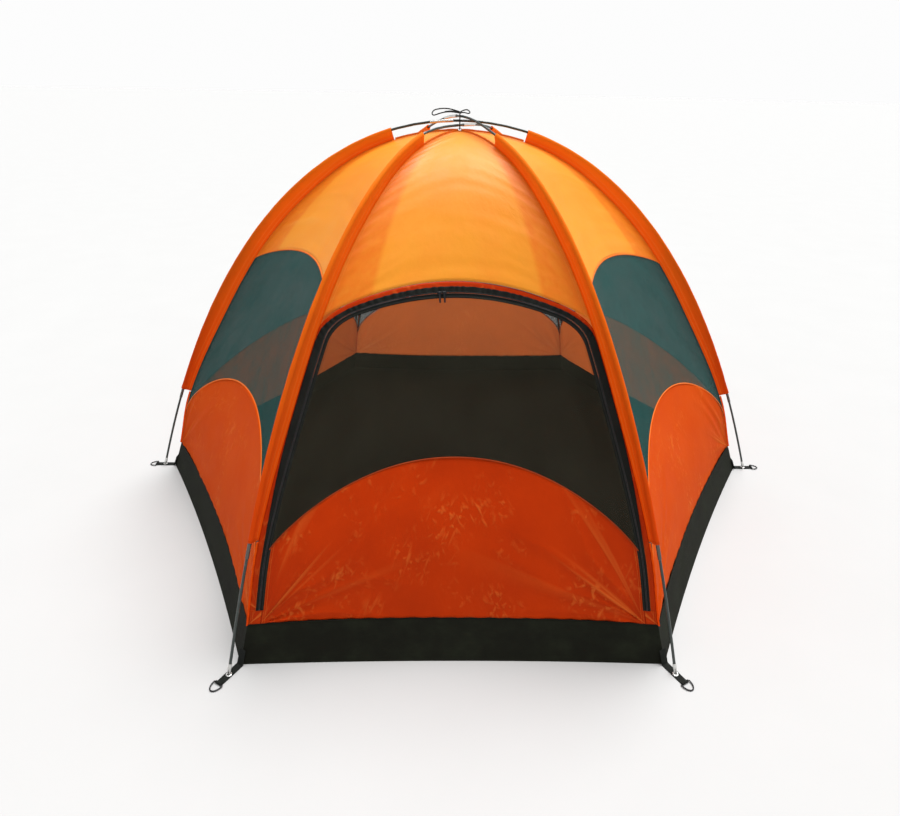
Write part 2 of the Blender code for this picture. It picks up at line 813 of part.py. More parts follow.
def slider_mesh():
    """Zip slider in its own axes: X along the zip, Y across it, Z out of the cloth."""
    along, across, thick = SLIDER
    bm = bmesh.new()
    bmesh.ops.create_cube(bm, size=1.0)
    bmesh.ops.scale(bm, vec=(along, across, thick), verts=bm.verts)
    bmesh.ops.bevel(bm, geom=bm.edges[:], offset=0.0008, segments=1, affect="EDGES")
    body = bpy.data.meshes.new("zip_slider")
    bm.to_mesh(body)
    bm.free()
    half = BRIDGE_SPAN / 2
    foot = thick / 2 - 0.0006
    top = thick / 2 + BRIDGE_RISE
    bridge = [(-half, 0, foot), (-half, 0, top - 0.001), (-half + 0.001, 0, top), (half - 0.001, 0, top),
              (half, 0, top - 0.001), (half, 0, foot)]
    return combine("zip_slider", body, [("UNION", tube_mesh("bridge", bridge, BRIDGE_R, False))])


def pull_mesh():
    """Pull tab with its eye on the X axis and its tail along -Y."""
    outer, inner = PULL_EYE
    half = PULL_THICK / 2
    meet = math.degrees(math.asin(half / outer))
    outline = arc(0, 0, outer, 180 + meet, 540 - meet, 14)
    outline += [(-PULL_LENGTH, half), (-PULL_LENGTH, -half)]
    hole = arc(0, 0, inner, 0, 324, 9)
    data = flat_mesh("slider_pull", [outline[::-1], hole], PULL_WIDTH)
    axes = Matrix(((0, 0, 1), (1, 0, 0), (0, 1, 0))).to_4x4()
    data.transform(axes)
    data.shade_smooth()
    data.set_sharp_from_angle(angle=math.radians(40))
    return data


def make_sliders():
    centre, axis, top = zip_circle()
    slider = slider_mesh()
    pull = pull_mesh()
    slider.materials.append(black_metal())
    pull.materials.append(black_metal())
    spoke = top - centre
    out = cloth_normal(FRONT, 0.0, seam_station(upper_arch(0.0) - ZIP_DROP * ZIP_LINE))
    meet = math.asin(SLIDER_MEET / spoke.length)
    apart = (SLIDER[0] / 2 + 0.0005) / spoke.length
    for name, angle in (("left", meet - apart), ("right", meet + apart)):
        turn = Matrix.Rotation(-angle, 4, axis)
        normal = turn @ out
        along = (turn @ spoke).cross(normal).normalized()
        frame = Matrix((along, normal.cross(along), normal)).transposed().to_4x4()
        place = centre + turn @ spoke
        lift = SLIDER_LIFT + CLOTH / 2 + SLIDER[2] / 2
        piece = add_object("zip_slider_" + name, slider, None)
        piece.matrix_world = Matrix.Translation(place + normal * lift) @ frame
        pivot = lift + SLIDER[2] / 2 + BRIDGE_RISE
        lean = Matrix.Rotation(PULL_TILT, 4, "X")
        piece = add_object("slider_pull_" + name, pull, None)
        piece.matrix_world = Matrix.Translation(place + normal * pivot) @ frame @ lean


# Crown tie

def bow_loop(reach, end_radius, tilt, rise, droop, lean, turn):
    """Route of a bow's loop: out from the knot, round its wide end and back."""
    centre = reach - end_radius
    tangent = math.acos(end_radius / centre)
    touch = (centre - end_radius * math.cos(tangent), end_radius * math.sin(tangent))
    strand = []
    for i in range(5):
        share = i / 5
        strand.append((BOW_START[0] + (touch[0] - BOW_START[0]) * share,
                       BOW_START[1] + (touch[1] - BOW_START[1]) * share))
    flat = list(strand)
    for i in range(11):
        angle = tangent + (2 * math.pi - 2 * tangent) * i / 10
        flat.append((centre - end_radius * math.cos(angle), end_radius * math.sin(angle)))
    flat += [(out, -aside) for out, aside in reversed(strand)]
    route = []
    for out, aside in flat:
        lift = rise * math.sin(math.pi * out / (1.05 * reach)) - droop * out
        route.append((turn * out, aside * math.cos(tilt) - lean * out,
                      KNOT_HEIGHT + lift + aside * math.sin(tilt)))
    return route


def make_crown_tie():
    """Cord wrapped once around the crossing and knotted on top in a bow."""
    wrap = []
    middle = (KNOT_HEIGHT + WRAP_LOW) / 2
    half = (KNOT_HEIGHT - WRAP_LOW) / 2
    for i in range(20):
        angle = 2 * math.pi * i / 20
        y = math.copysign(abs(math.cos(angle)) ** 0.6, math.cos(angle)) * WRAP_HALF
        z = math.copysign(abs(math.sin(angle)) ** 0.6, math.sin(angle)) * half
        wrap.append((0.0, y, middle + z))
    big_bow = bow_loop(*BIG_BOW)
    small_bow = bow_loop(*SMALL_BOW)
    tail = [(-0.001, 0.001, 1.4150), (-0.018, 0.0065, 1.4175), (-0.036, 0.010, 1.4175),
            (-0.052, 0.012, 1.4150)]
    knot = primitive_mesh("knot", bmesh.ops.create_uvsphere, u_segments=12, v_segments=8, radius=KNOT_R,
                          matrix=Matrix.Translation((0, 0, KNOT_HEIGHT)))
    steps = [("UNION", tube_mesh("wrap", wrap, TIE_R, True, 1)),
             ("UNION", tube_mesh("big_bow", big_bow, TIE_R, False, 1)),
             ("UNION", tube_mesh("small_bow", small_bow, TIE_R, False, 1)),
             ("UNION", tube_mesh("tail", tail, TIE_R, False, 1))]
    data = combine("crown_tie", knot, steps)
    add_object("crown_tie", data, webbing())


def make_apex_tape():
    """Small loop of tape at the canopy's top that the tie passes through."""
    outer = arc(0, 0, TAPE_R + TAPE_THICK / 2, 0, 345, 23)
    inner = arc(0, 0, TAPE_R - TAPE_THICK / 2, 0, 345, 23)
    data = flat_mesh("apex_tape", [outer, inner], TAPE_WIDTH)
    data.transform(Matrix.Translation((0, 0, TAPE_HEIGHT)) @ Matrix.Rotation(math.radians(90), 4, "X"))
    data.shade_smooth()
    data.set_sharp_from_angle(angle=math.radians(40))
    add_object("apex_tape", data, sleeve_cloth())


for build_step in (make_canopy_gores, make_window_meshes, make_lower_panels, make_bathtub_floor, make_door):
    build_step()
for number in range(6):
    make_leg(number)
    make_rod(number)
    make_sleeve(number)
for joint_corner in JOINT_CORNERS:
    make_crown_ferrule(joint_corner)
make_corner_hardware()
make_sliders()
make_crown_tie()
make_apex_tape()
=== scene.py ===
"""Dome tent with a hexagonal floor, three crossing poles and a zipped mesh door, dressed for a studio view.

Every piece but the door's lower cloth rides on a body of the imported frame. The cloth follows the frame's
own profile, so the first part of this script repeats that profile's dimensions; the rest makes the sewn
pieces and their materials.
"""
import math

import bmesh
import bpy
from mathutils import Matrix, Vector, noise


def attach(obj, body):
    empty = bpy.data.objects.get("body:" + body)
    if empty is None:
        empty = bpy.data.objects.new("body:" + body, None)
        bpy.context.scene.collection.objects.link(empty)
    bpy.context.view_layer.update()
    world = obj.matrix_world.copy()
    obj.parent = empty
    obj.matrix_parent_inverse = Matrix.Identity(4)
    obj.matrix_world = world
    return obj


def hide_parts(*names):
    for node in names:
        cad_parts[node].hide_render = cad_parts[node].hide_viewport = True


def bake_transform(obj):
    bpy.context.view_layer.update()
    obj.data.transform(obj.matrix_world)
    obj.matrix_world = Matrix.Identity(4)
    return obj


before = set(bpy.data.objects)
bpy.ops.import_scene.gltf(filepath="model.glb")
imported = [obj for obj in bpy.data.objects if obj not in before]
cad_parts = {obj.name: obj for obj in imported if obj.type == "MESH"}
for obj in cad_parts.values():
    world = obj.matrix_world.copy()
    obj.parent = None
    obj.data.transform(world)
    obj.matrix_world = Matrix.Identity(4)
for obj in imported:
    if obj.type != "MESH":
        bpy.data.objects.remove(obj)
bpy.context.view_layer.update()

# The frame's driving dimensions, in metres
FOOT_RADIUS = 1.25
CROWN_HEIGHT = 1.388
FOOT_LEAN = math.radians(19.1)
FOOT_HANDLE = 0.45
CROWN_HANDLE = 0.747
POLE_STACK = 0.0145
STACK_REACH = 0.25
POLE_STEPS = (0, -1, 1)
FIN_WIDTHS = ((0.0, 0.050), (0.108, 0.046), (0.33, 0.031), (0.75, 0.050), (1.15, 0.045), (1.355, 0.033))
BOWS = ((0.0, 0.028), (0.108, 0.028), (0.5, 0.045), (1.0, 0.038), (1.356, 0.0))
LOWER_APEX = 0.540
LOWER_SPRING = 0.238
UPPER_APEX = 0.984
UPPER_SPRING = 0.900
TUB_HEIGHT = 0.108
TUB_FOOT_RADIUS = 1.208
TUB_BOW_FRONT = 0.012
TUB_BOW = 0.018
SLEEVE_FOOT = 0.362
SLEEVE_CROWN = 0.235
SLEEVE_R = 0.0068
CHANNEL_R = 0.0058
POCKET_DEPTH = 0.026
ROD_R = 0.0041
FERRULE_R = 0.0053
FERRULE_FOOT = 0.322
FERRULE_TOP = 0.397
PIN_R = 0.0022
PIN_FOOT = 0.0012
SHOULDER = 0.0052
ZIP_FOOT = 0.150
ZIP_CORNER = 0.055
ZIP_LINE = 0.0270
ZIP_GAP = 0.0004
DOOR_EDGE = 0.0345
GROMMET_RADIUS = 1.249
KNOT_HEIGHT = 1.4138
TIE_R = 0.0020
WRAP_LOW = 1.3605
WRAP_HALF = 0.018
BOW_START = (0.0030, 0.0028)         # where a loop leaves the knot: out from its centre, and aside
# reach, end radius, tilt, rise, droop, lean and side of each loop of the bow
BIG_BOW = (0.0945, 0.0115, math.radians(45), 0.0095, 0.06, 0.09, -1)
SMALL_BOW = (0.0340, 0.0092, math.radians(35), 0.0040, 0.0, 0.06, 1)

SIDES = ("rear_right", "rear", "rear_left", "front_left", "front", "front_right")
CORNERS = ("right", "rear_right", "rear_left", "left", "front_left", "front_right")
FRONT = SIDES.index("front")
COS30 = math.cos(math.radians(30))

# The cloth's own dimensions
CLOTH = 0.0008
TUB_CLOTH = 0.0007
SEAM_SIZE = (0.0017, 0.0040)         # half width and half height of a corner seam
SEAM_LIFT = 0.0022
PIPING_LIFT = 0.0008
PIPING_SHARE = 0.992                 # how far piping reaches across a side
ZIP_DROP = 1.1                       # the zip lies this many insets under the upper arch
DOOR_DROP = 1.12
CORNER_DROP = 0.8
COIL_WIDTH = 0.0010
COIL_LIFT = 0.0020
SEAM_EDGE = 0.0009                   # cloth edge to the corner's middle plane
APEX_EDGE = 0.0125                   # the gores end this far from the axis
PIPING = (0.0021, 0.0013)            # half width and half height
RIM_WELT = (0.0022, 0.0016)
COIL_R = 0.0013
FERRULE_LIP = 0.0004
COIL_PITCH = 0.0030
FRAME_TAPE_LIFT = 0.0016
DOOR_SHARE = 0.945                   # the door's edge as a share of the side's half width
NO_PLACE = (0, 0, 0.02)              # place on the cloth of a piece that isn't cloth
METAL_CORNER = 35                    # degrees past which a turned piece's edge is sharp
COLUMN_DRAW = 0.45                   # how far a panel's columns crowd towards its seams
CLOTH_COLUMNS = 96
NET_COLUMNS = 56
DOOR_COLUMNS = 140
GORE_ROWS = 76
WALL_ROWS = 44
DOOR_ROWS = 64
NET_ROWS = 34
SLEEVE_ROWS = 110
GORE_FAN = (0.24, 16)                # reach and count of the creases at a gore's corners
LOWER_FAN = (0.55, 8)
DOOR_SLACK = 1.3                     # the door's folds as a multiple of the other lower panels'
STITCH_ROWS = (0.0045, 0.0105)       # distances of the thread from a seam
TAFFETA_PITCH = 0.0011
NET_PITCH = 0.0034
TAIL_ROUTE = ((-0.001, 0.001, 1.4150), (-0.018, 0.0065, 1.4175),
              (-0.036, 0.010, 1.4175), (-0.052, 0.012, 1.4150))

# The studio view
CAMERA_TURNS = (1.45, 24.75, 1.15)   # yaw, pitch and roll in degrees
CAMERA_PLACE = (0.010, -2.366, 1.501)
CAMERA_SHIFT = (-0.0278, -0.0311)
LENS = 25.63                         # millimetres, as is the sensor
SENSOR = 36.0
SUN_TOWARDS = (0.20, 0.30, 0.93)
SUN_SPREAD = 45
SUN_POWER = 5.0
STUDIO_RADIUS = 120.0
STUDIO_DROP = 0.0003


# Numbers

def solve(function, low, high, target):
    """Argument between low and high where a rising or falling function meets the target."""
    rising = function(high) > function(low)
    for _ in range(50):
        middle = (low + high) / 2
        if (function(middle) < target) == rising:
            low = middle
        else:
            high = middle
    return (low + high) / 2


def ease(x):
    """Smooth step from 0 to 1."""
    x = min(1.0, max(0.0, x))
    return x * x * (3 - 2 * x)


def read_table(table, x):
    """Smooth reading between the (place, value) pairs of a table."""
    for (x0, y0), (x1, y1) in zip(table, table[1:]):
        if x <= x1:
            return y0 + (y1 - y0) * ease((x - x0) / (x1 - x0))
    return table[-1][1]


def spread(count, share=0.0):
    """Evenly spaced values from -1 to 1, drawn towards both ends by the share."""
    places = [-1 + 2 * i / count for i in range(count + 1)]
    return [(1 - share) * p + share * math.sin(math.pi / 2 * p) for p in places]


def turns(count, start=0.0):
    """Evenly spaced angles of one full turn."""
    return [start + 2 * math.pi * i / count for i in range(count)]


def wander(x, y, seed):
    """Smooth noise from about -1 to 1."""
    return noise.noise(Vector((x, y, seed)))


# The pole's profile, and the canopy surface inside it

def pole_profile(t):
    """(radius, height) of a pole's centre line: t is 0 at the foot and 1 at the crown."""
    points = (
        (FOOT_RADIUS, 0.0),
        (FOOT_RADIUS - FOOT_HANDLE * math.sin(FOOT_LEAN), FOOT_HANDLE * math.cos(FOOT_LEAN)),
        (CROWN_HANDLE, CROWN_HEIGHT),
        (0.0, CROWN_HEIGHT),
    )
    weights = ((1 - t) ** 3, 3 * (1 - t) ** 2 * t, 3 * (1 - t) * t * t, t ** 3)
    radius = sum(w * p[0] for w, p in zip(weights, points))
    height = sum(w * p[1] for w, p in zip(weights, points))
    return radius, height


def profile_normal(t):
    """Outward unit normal of the profile, as (radius, height)."""
    step = 1e-4
    before = pole_profile(max(0.0, t - step))
    after = pole_profile(min(1.0, t + step))
    return Vector((after[1] - before[1], before[0] - after[0])).normalized()


def seam_profile(t):
    """(radius, height) of the seam that a pole's fin is sewn to."""
    radius, height = pole_profile(t)
    normal = profile_normal(t)
    width = read_table(FIN_WIDTHS, height)
    return radius - normal.x * width, height - normal.y * width


def pole_station(height):
    return solve(lambda t: pole_profile(t)[1], 0.0, 0.97, height)


def pole_station_at_radius(radius):
    return solve(lambda t: pole_profile(t)[0], 0.0, 1.0, radius)


def seam_station(height):
    return solve(lambda t: seam_profile(t)[1], 0.0, 0.99, height)


APEX_STATION = solve(lambda t: seam_profile(t)[0], 0.5, 1.0, APEX_EDGE)
RIM_STATION = seam_station(TUB_HEIGHT)


def corner_direction(corner):
    angle = math.radians(60 * corner)
    return Vector((math.cos(angle), math.sin(angle), 0.0))


def pole_point(corner, t):
    """Centre line of a corner's pole, raised or lowered near the crossing."""
    radius, height = pole_profile(t)
    fade = max(0.0, 1 - (radius / STACK_REACH) ** 2) ** 2
    point = corner_direction(corner) * radius
    point.z = height + POLE_STEPS[corner % 3] * POLE_STACK * fade
    return point


def pole_axes(corner, t):
    """Outward and sideways directions across a pole."""
    tangent = pole_point(corner, t + 1e-4) - pole_point(corner, t - 1e-4)
    sideways = Vector((0, 0, 1)).cross(corner_direction(corner))
    return sideways.cross(tangent).normalized(), sideways


def pole_ring(corner, t, radius, angles):
    """Circle of points round a pole."""
    outward, sideways = pole_axes(corner, t)
    centre = pole_point(corner, t)
    return [centre + radius * (math.cos(a) * outward + math.sin(a) * sideways) for a in angles]


def side_axes(side):
    angle = math.radians(60 * side + 30)
    outward = Vector((math.cos(angle), math.sin(angle), 0.0))
    return outward, Vector((-outward.y, outward.x, 0.0))


def side_point(side, offset, t):
    """Point of a side's cloth, offset sideways from its middle, level with seam station t."""
    radius, height = seam_profile(t)
    outward, along = side_axes(side)
    across = offset / (radius / 2)
    distance = radius * COS30 - read_table(BOWS, height) * (1 - across * across)
    return outward * distance + along * offset + Vector((0, 0, height))


def cloth_normal(side, offset, t):
    """Outward unit normal of a side's cloth."""
    step = 1e-3
    across = side_point(side, offset + step, t) - side_point(side, offset - step, t)
    up = side_point(side, offset, t + step) - side_point(side, offset, t - step)
    return across.cross(up).normalized()


def lower_arch(across):
    rise = max(0.0, 1 - abs(across) ** 2.1) ** 0.58
    return LOWER_SPRING + (LOWER_APEX - LOWER_SPRING) * rise


def upper_arch(across):
    rise = max(0.0, 1 - across * across) ** 0.8
    return UPPER_SPRING + (UPPER_APEX - UPPER_SPRING) * rise


# Nodes for materials

def node(tree, kind, inputs=(), **settings):
    """New shader node with its settings, and with a value or another node's socket on each input."""
    made = tree.nodes.new("ShaderNode" + kind)
    for key, value in settings.items():
        setattr(made, key, value)
    for key, value in dict(inputs).items():
        if isinstance(value, bpy.types.NodeSocket):
            tree.links.new(value, made.inputs[key])
        else:
            made.inputs[key].default_value = value
    return made


def calculate(tree, operation, first, second=0.0):
    return node(tree, "Math", {0: first, 1: second}, operation=operation).outputs[0]


def times(tree, first, second):
    return calculate(tree, "MULTIPLY", first, second)


def ramp(tree, value, low, high, at_low=0.0, at_high=1.0):
    """Value carried from one range to another and held at its ends."""
    made = node(tree, "MapRange", {"Value": value, "From Min": low, "From Max": high,
                                   "To Min": at_low, "To Max": at_high}, clamp=True)
    return made.outputs["Result"]


def blend_colours(tree, share, first, second, blend_type="MIX"):
    made = node(tree, "Mix", {0: share}, data_type="RGBA", blend_type=blend_type)
    for socket, colour in ((made.inputs[6], first), (made.inputs[7], second)):
        if isinstance(colour, bpy.types.NodeSocket):
            tree.links.new(colour, socket)
        else:
            socket.default_value = (*colour, 1.0)
    return made.outputs[2]


def clouds(tree, place, scale, detail=3.0, roughness=0.55):
    made = node(tree, "TexNoise", {"Vector": place, "Scale": scale, "Detail": detail, "Roughness": roughness})
    return made.outputs["Fac"]


def start_material(name):
    """Empty material with its tree and output."""
    made = bpy.data.materials.new(name)
    made.use_nodes = True
    tree = made.node_tree
    tree.nodes.clear()
    return made, tree, node(tree, "OutputMaterial")


def start_hard_material(name):
    """Empty material with its tree, its output and the place on the piece."""
    made, tree, out = start_material(name)
    return made, tree, out, node(tree, "TexCoord").outputs["Object"]


def finish_mix(made, tree, out, share, first, second):
    """The material, with a share of the second surface mixed into the first."""
    mixed = node(tree, "MixShader", {0: share, 1: first.outputs[0], 2: second.outputs[0]})
    tree.links.new(mixed.outputs[0], out.inputs["Surface"])
    return made


def finish_material(made, tree, out, inputs):
    """The material, with a principled surface of these inputs."""
    face = node(tree, "BsdfPrincipled", inputs)
    tree.links.new(face.outputs[0], out.inputs["Surface"])
    return made


def cloth_place(tree):
    """Where a point lies on its cloth: the vector, its parts across and along, and the seam's distance."""
    place = node(tree, "Attribute", attribute_name="cloth_place").outputs["Vector"]
    parts = node(tree, "SeparateXYZ", {0: place})
    return place, parts.outputs[0], parts.outputs[1], parts.outputs[2]


def stripes(tree, value, pitch):
    """Wave from -1 to 1 along a length."""
    return calculate(tree, "SINE", times(tree, value, 2 * math.pi / pitch))


def plain_weave(tree, across, along, pitch):
    return times(tree, stripes(tree, across, pitch), stripes(tree, along, pitch))


def raise_surface(tree, height, distance, strength, under=None):
    inputs = {"Height": height, "Distance": distance, "Strength": strength}
    if under is not None:
        inputs["Normal"] = under
    return node(tree, "Bump", inputs).outputs["Normal"]


def stitches(tree, along, distance, row, pitch=0.0042, width=0.0007):
    """1 on a dashed row of thread at a distance from the seam, 0 elsewhere."""
    off = calculate(tree, "ABSOLUTE", calculate(tree, "SUBTRACT", distance, row))
    line = ramp(tree, off, width, 0.4 * width)
    dash = ramp(tree, stripes(tree, along, pitch), -0.55, -0.25)
    return times(tree, line, dash)


def corner_folds(tree, across, along, distance, reach):
    """1 on creases that spread from a panel's bottom corners and fade within a reach."""
    angle = calculate(tree, "ARCTAN2", along, distance)
    squares = calculate(tree, "ADD", times(tree, along, along),
                        times(tree, distance, distance))
    radius = calculate(tree, "SQRT", squares)
    spokes = node(tree, "CombineXYZ", {0: angle, 1: times(tree, radius, 0.16),
                                       2: calculate(tree, "SIGN", across)}).outputs[0]
    lines = ramp(tree, clouds(tree, spokes, 8.5, 1.0, 0.3), 0.56, 0.70)
    lines = times(tree, lines, ramp(tree, angle, 0.25, 0.65))
    return times(tree, lines, ramp(tree, radius, 0.06, reach, 1.0, 0.0))


def crumples(tree, place):
    """1 on short soft creases that run in three directions, in patches."""
    strokes = 0.0
    for turn, shift in ((0.12, 3.0), (0.95, 7.0), (-0.75, 11.0)):
        turned = node(tree, "Mapping", {"Vector": place, "Location": (shift, shift, 0.0),
                                        "Rotation": (0.0, 0.0, turn), "Scale": (20.0, 1.0, 1.0)},
                      vector_type="TEXTURE").outputs[0]
        stroke = ramp(tree, clouds(tree, turned, 58.0, 1.0, 0.3), 0.61, 0.76)
        strokes = calculate(tree, "MAXIMUM", stroke, strokes)
    return times(tree, strokes, ramp(tree, clouds(tree, place, 6.0, 2.0), 0.46, 0.64))


# Materials

def canopy_cloth(name, light, deep, edge, thread, glow, share, roughness, gloss, seam_shade_reach,
                 shade_band=0.0, rise=0.0, folds_reach=0.0):
    """Thin coated taffeta with stitching and creases, painted shade near its seams and painted highlights
    along its creases.
    """
    made, tree, out = start_material(name)
    place, across, along, distance = cloth_place(tree)
    patches = ramp(tree, clouds(tree, place, 5.0), 0.35, 0.68)
    # Painted shade: with a rise, the colour runs from the deep colour at the foot to the light colour higher
    # up, as light from above falls.
    if rise:
        patches = calculate(tree, "ADD", ramp(tree, along, 0.0, rise, 0.9, 0.0),
                            times(tree, patches, 0.1))
    colour = blend_colours(tree, patches, light, deep)
    # Painted shade: the edge colour darkens the cloth near its seams, mottled and fading out within the
    # reach.
    fade = ramp(tree, distance, 0.0, seam_shade_reach, 1.0, 0.0)
    wear_and_seam_shade = times(tree, fade, ramp(tree, clouds(tree, place, 16.0), 0.2, 0.8, 0.75, 1.0))
    colour = blend_colours(tree, calculate(tree, "POWER", wear_and_seam_shade, 1.4), colour, edge)
    # Painted shade: a mottled band beside each seam, widest at the foot and narrowing upwards, takes the edge
    # colour where the sleeves' shade falls.
    if shade_band:
        inner_edge = times(tree, ramp(tree, along, 0.0, 0.74, 1.0, 0.0), shade_band)
        inside = ramp(tree, calculate(tree, "SUBTRACT", distance, inner_edge), 0.007, -0.007)
        sleeve_shade_band = ramp(tree, clouds(tree, place, 30.0), 0.25, 0.7, 0.4, 0.8)
        sleeve_shade_band = times(tree, inside, sleeve_shade_band)
        colour = blend_colours(tree, sleeve_shade_band, colour, edge)
    folds = node(tree, "Attribute", attribute_name="cloth_crease").outputs["Fac"]
    if folds_reach:
        folds = calculate(tree, "MAXIMUM", corner_folds(tree, across, along, distance, folds_reach),
                          times(tree, crumples(tree, place), 0.75))
    # Painted highlight: the creases and crumples take a share of the paler thread colour.
    colour = blend_colours(tree, times(tree, folds, 0.50), colour, thread)
    sewn = calculate(tree, "MAXIMUM", *(stitches(tree, along, distance, row) for row in STITCH_ROWS))
    colour = blend_colours(tree, times(tree, sewn, 0.7), colour, thread)
    weave = plain_weave(tree, across, along, TAFFETA_PITCH)
    surface = raise_surface(tree, weave, 0.0001, 0.25)
    creases = clouds(tree, place, 26.0, 5.0, 0.6)
    surface = raise_surface(tree, creases, 0.0035, 0.28, surface)
    if folds_reach:
        surface = raise_surface(tree, folds, 0.003, 0.5, surface)
    surface = raise_surface(tree, sewn, 0.0006, 0.6, surface)
    sheen_spots = ramp(tree, clouds(tree, place, 9.0), 0.3, 0.7, roughness - 0.06, roughness + 0.08)
    face = node(tree, "BsdfPrincipled", {
        "Base Color": colour, "Roughness": sheen_spots, "Normal": surface, "Specular IOR Level": gloss,
        "Sheen Weight": 0.02, "Sheen Roughness": 0.4})
    through = blend_colours(tree, 0.7, colour, glow)
    glowing = node(tree, "BsdfTranslucent", {"Color": through, "Normal": surface})
    return finish_mix(made, tree, out, share, face, glowing)


def net_cloth(name, thread, pale, cover, contrast):
    """Fine insect net: threads that cover a share of what is behind, densest along the seams."""
    made, tree, out = start_material(name)
    place, across, along, distance = cloth_place(tree)
    holes = plain_weave(tree, across, along, NET_PITCH)
    patches = clouds(tree, place, 7.0)
    density = calculate(tree, "ADD", times(tree, holes, contrast),
                        ramp(tree, patches, 0.3, 0.7, cover - 0.04, cover + 0.04))
    density = calculate(tree, "ADD", density, ramp(tree, distance, 0.0, 0.012, 0.25, 0.0))
    colour = blend_colours(tree, patches, thread, pale)
    surface = raise_surface(tree, holes, 0.0003, 0.4)
    face = node(tree, "BsdfPrincipled", {
        "Base Color": colour, "Roughness": ramp(tree, patches, 0.3, 0.7, 0.62, 0.78),
        "Normal": surface, "Specular IOR Level": 0.05, "Sheen Weight": 0.02})
    clear = node(tree, "BsdfTransparent")
    limited = node(tree, "Clamp", {0: density})
    return finish_mix(made, tree, out, limited.outputs[0], clear, face)


def heavy_cloth(name, dark, wear_and_seam_shade, weave_pitch, roughness, sheen, thread=None):
    """Opaque woven cloth: the tub's coated fabric, tape or webbing, rubbed paler in patches."""
    made, tree, out = start_material(name)
    place, across, along, distance = cloth_place(tree)
    rubbed = calculate(tree, "POWER", ramp(tree, clouds(tree, place, 11.0, 6.0, 0.65), 0.35, 0.75), 1.6)
    colour = blend_colours(tree, rubbed, dark, wear_and_seam_shade)
    weave = plain_weave(tree, across, along, weave_pitch)
    colour = blend_colours(tree, ramp(tree, weave, -1.0, 1.0, 0.0, 0.25), colour, wear_and_seam_shade)
    surface = raise_surface(tree, weave, 0.0003, 0.4)
    surface = raise_surface(tree, clouds(tree, place, 30.0, 5.0), 0.003, 0.25, surface)
    if thread is not None:
        sewn = stitches(tree, along, distance, 0.0035)
        colour = blend_colours(tree, sewn, colour, thread)
        surface = raise_surface(tree, sewn, 0.0005, 0.6, surface)
    return finish_material(made, tree, out, {
        "Base Color": colour, "Roughness": ramp(tree, rubbed, 0.0, 1.0, roughness, roughness + 0.12),
        "Normal": surface, "Specular IOR Level": 0.12, "Sheen Weight": sheen, "Sheen Roughness": 0.5})


def webbing_finish():
    """Black ribbed webbing for the corner straps, frayed a little paler."""
    made, tree, out, place = start_hard_material("webbing_finish")
    fuzz = clouds(tree, place, 160.0, 4.0)
    ribs = node(tree, "TexWave", {"Vector": place, "Scale": 150.0, "Distortion": 1.2, "Detail": 1.0},
                bands_direction="DIAGONAL").outputs["Fac"]
    wear_and_seam_shade = times(tree, ribs, ramp(tree, fuzz, 0.4, 0.75))
    colour = blend_colours(tree, wear_and_seam_shade, (0.004, 0.005, 0.004), (0.024, 0.027, 0.023))
    surface = raise_surface(tree, ribs, 0.0006, 0.6)
    surface = raise_surface(tree, fuzz, 0.0005, 0.4, surface)
    return finish_material(made, tree, out, {
        "Base Color": colour, "Roughness": ramp(tree, fuzz, 0.3, 0.7, 0.62, 0.85), "Normal": surface,
        "Specular IOR Level": 0.12, "Sheen Weight": 0.02})


def metal_finish(name, clean, wear_and_seam_shade, streak, roughness, metallic):
    """Drawn or coated metal with fine streaks, smudges and rubbed spots."""
    made, tree, out, place = start_hard_material(name)
    smudges = clouds(tree, place, 35.0, 5.0)
    lines = clouds(tree, place, 900.0, 2.0)
    spots = calculate(tree, "POWER", ramp(tree, clouds(tree, place, 120.0, 6.0, 0.7), 0.45, 0.75), 2.0)
    colour = blend_colours(tree, spots, clean, wear_and_seam_shade)
    rough = calculate(tree, "ADD", ramp(tree, smudges, 0.3, 0.7, roughness - 0.07, roughness + 0.1),
                      times(tree, lines, 0.05))
    return finish_material(made, tree, out, {
        "Base Color": colour, "Roughness": rough, "Metallic": metallic,
        "Normal": raise_surface(tree, lines, 0.0002, streak)})


def rod_finish():
    """Pultruded fibreglass: dark, resin-rich, with faint fibres and scuffs."""
    made, tree, out, place = start_hard_material("rod_finish")
    fibres = clouds(tree, place, 420.0, 3.0)
    scuffs = calculate(tree, "POWER", ramp(tree, clouds(tree, place, 60.0, 6.0, 0.7), 0.5, 0.8), 1.5)
    colour = blend_colours(tree, ramp(tree, fibres, 0.35, 0.7), (0.006, 0.012, 0.010), (0.018, 0.032, 0.026))
    colour = blend_colours(tree, times(tree, scuffs, 0.5), colour, (0.16, 0.17, 0.15))
    return finish_material(made, tree, out, {
        "Base Color": colour, "Roughness": ramp(tree, scuffs, 0.0, 1.0, 0.28, 0.55),
        "Normal": raise_surface(tree, fibres, 0.0002, 0.3), "Coat Weight": 0.25, "Coat Roughness": 0.2})


def cord_finish():
    """Black braided cord with crossing strands."""
    made, tree, out, place = start_hard_material("cord_finish")
    braid = node(tree, "TexWave", {"Vector": place, "Scale": 260.0, "Distortion": 2.0, "Detail": 1.0},
                 bands_direction="DIAGONAL").outputs["Fac"]
    fuzz = clouds(tree, place, 500.0, 3.0)
    colour = blend_colours(tree, times(tree, braid, fuzz), (0.006, 0.007, 0.007),
                           (0.05, 0.052, 0.050))
    surface = raise_surface(tree, braid, 0.0005, 0.7)
    return finish_material(made, tree, out, {
        "Base Color": colour, "Roughness": ramp(tree, fuzz, 0.3, 0.7, 0.6, 0.8), "Normal": surface,
        "Specular IOR Level": 0.12, "Sheen Weight": 0.02})


def floor_finish():
    """Pale matt studio floor with the faintest mottling."""
    made, tree, out, place = start_hard_material("floor_finish")
    mottle = clouds(tree, place, 3.0, 4.0)
    colour = blend_colours(tree, mottle, (0.455, 0.455, 0.452), (0.475, 0.475, 0.472))
    return finish_material(made, tree, out, {
        "Base Color": colour, "Roughness": 0.9, "Specular IOR Level": 0.1})
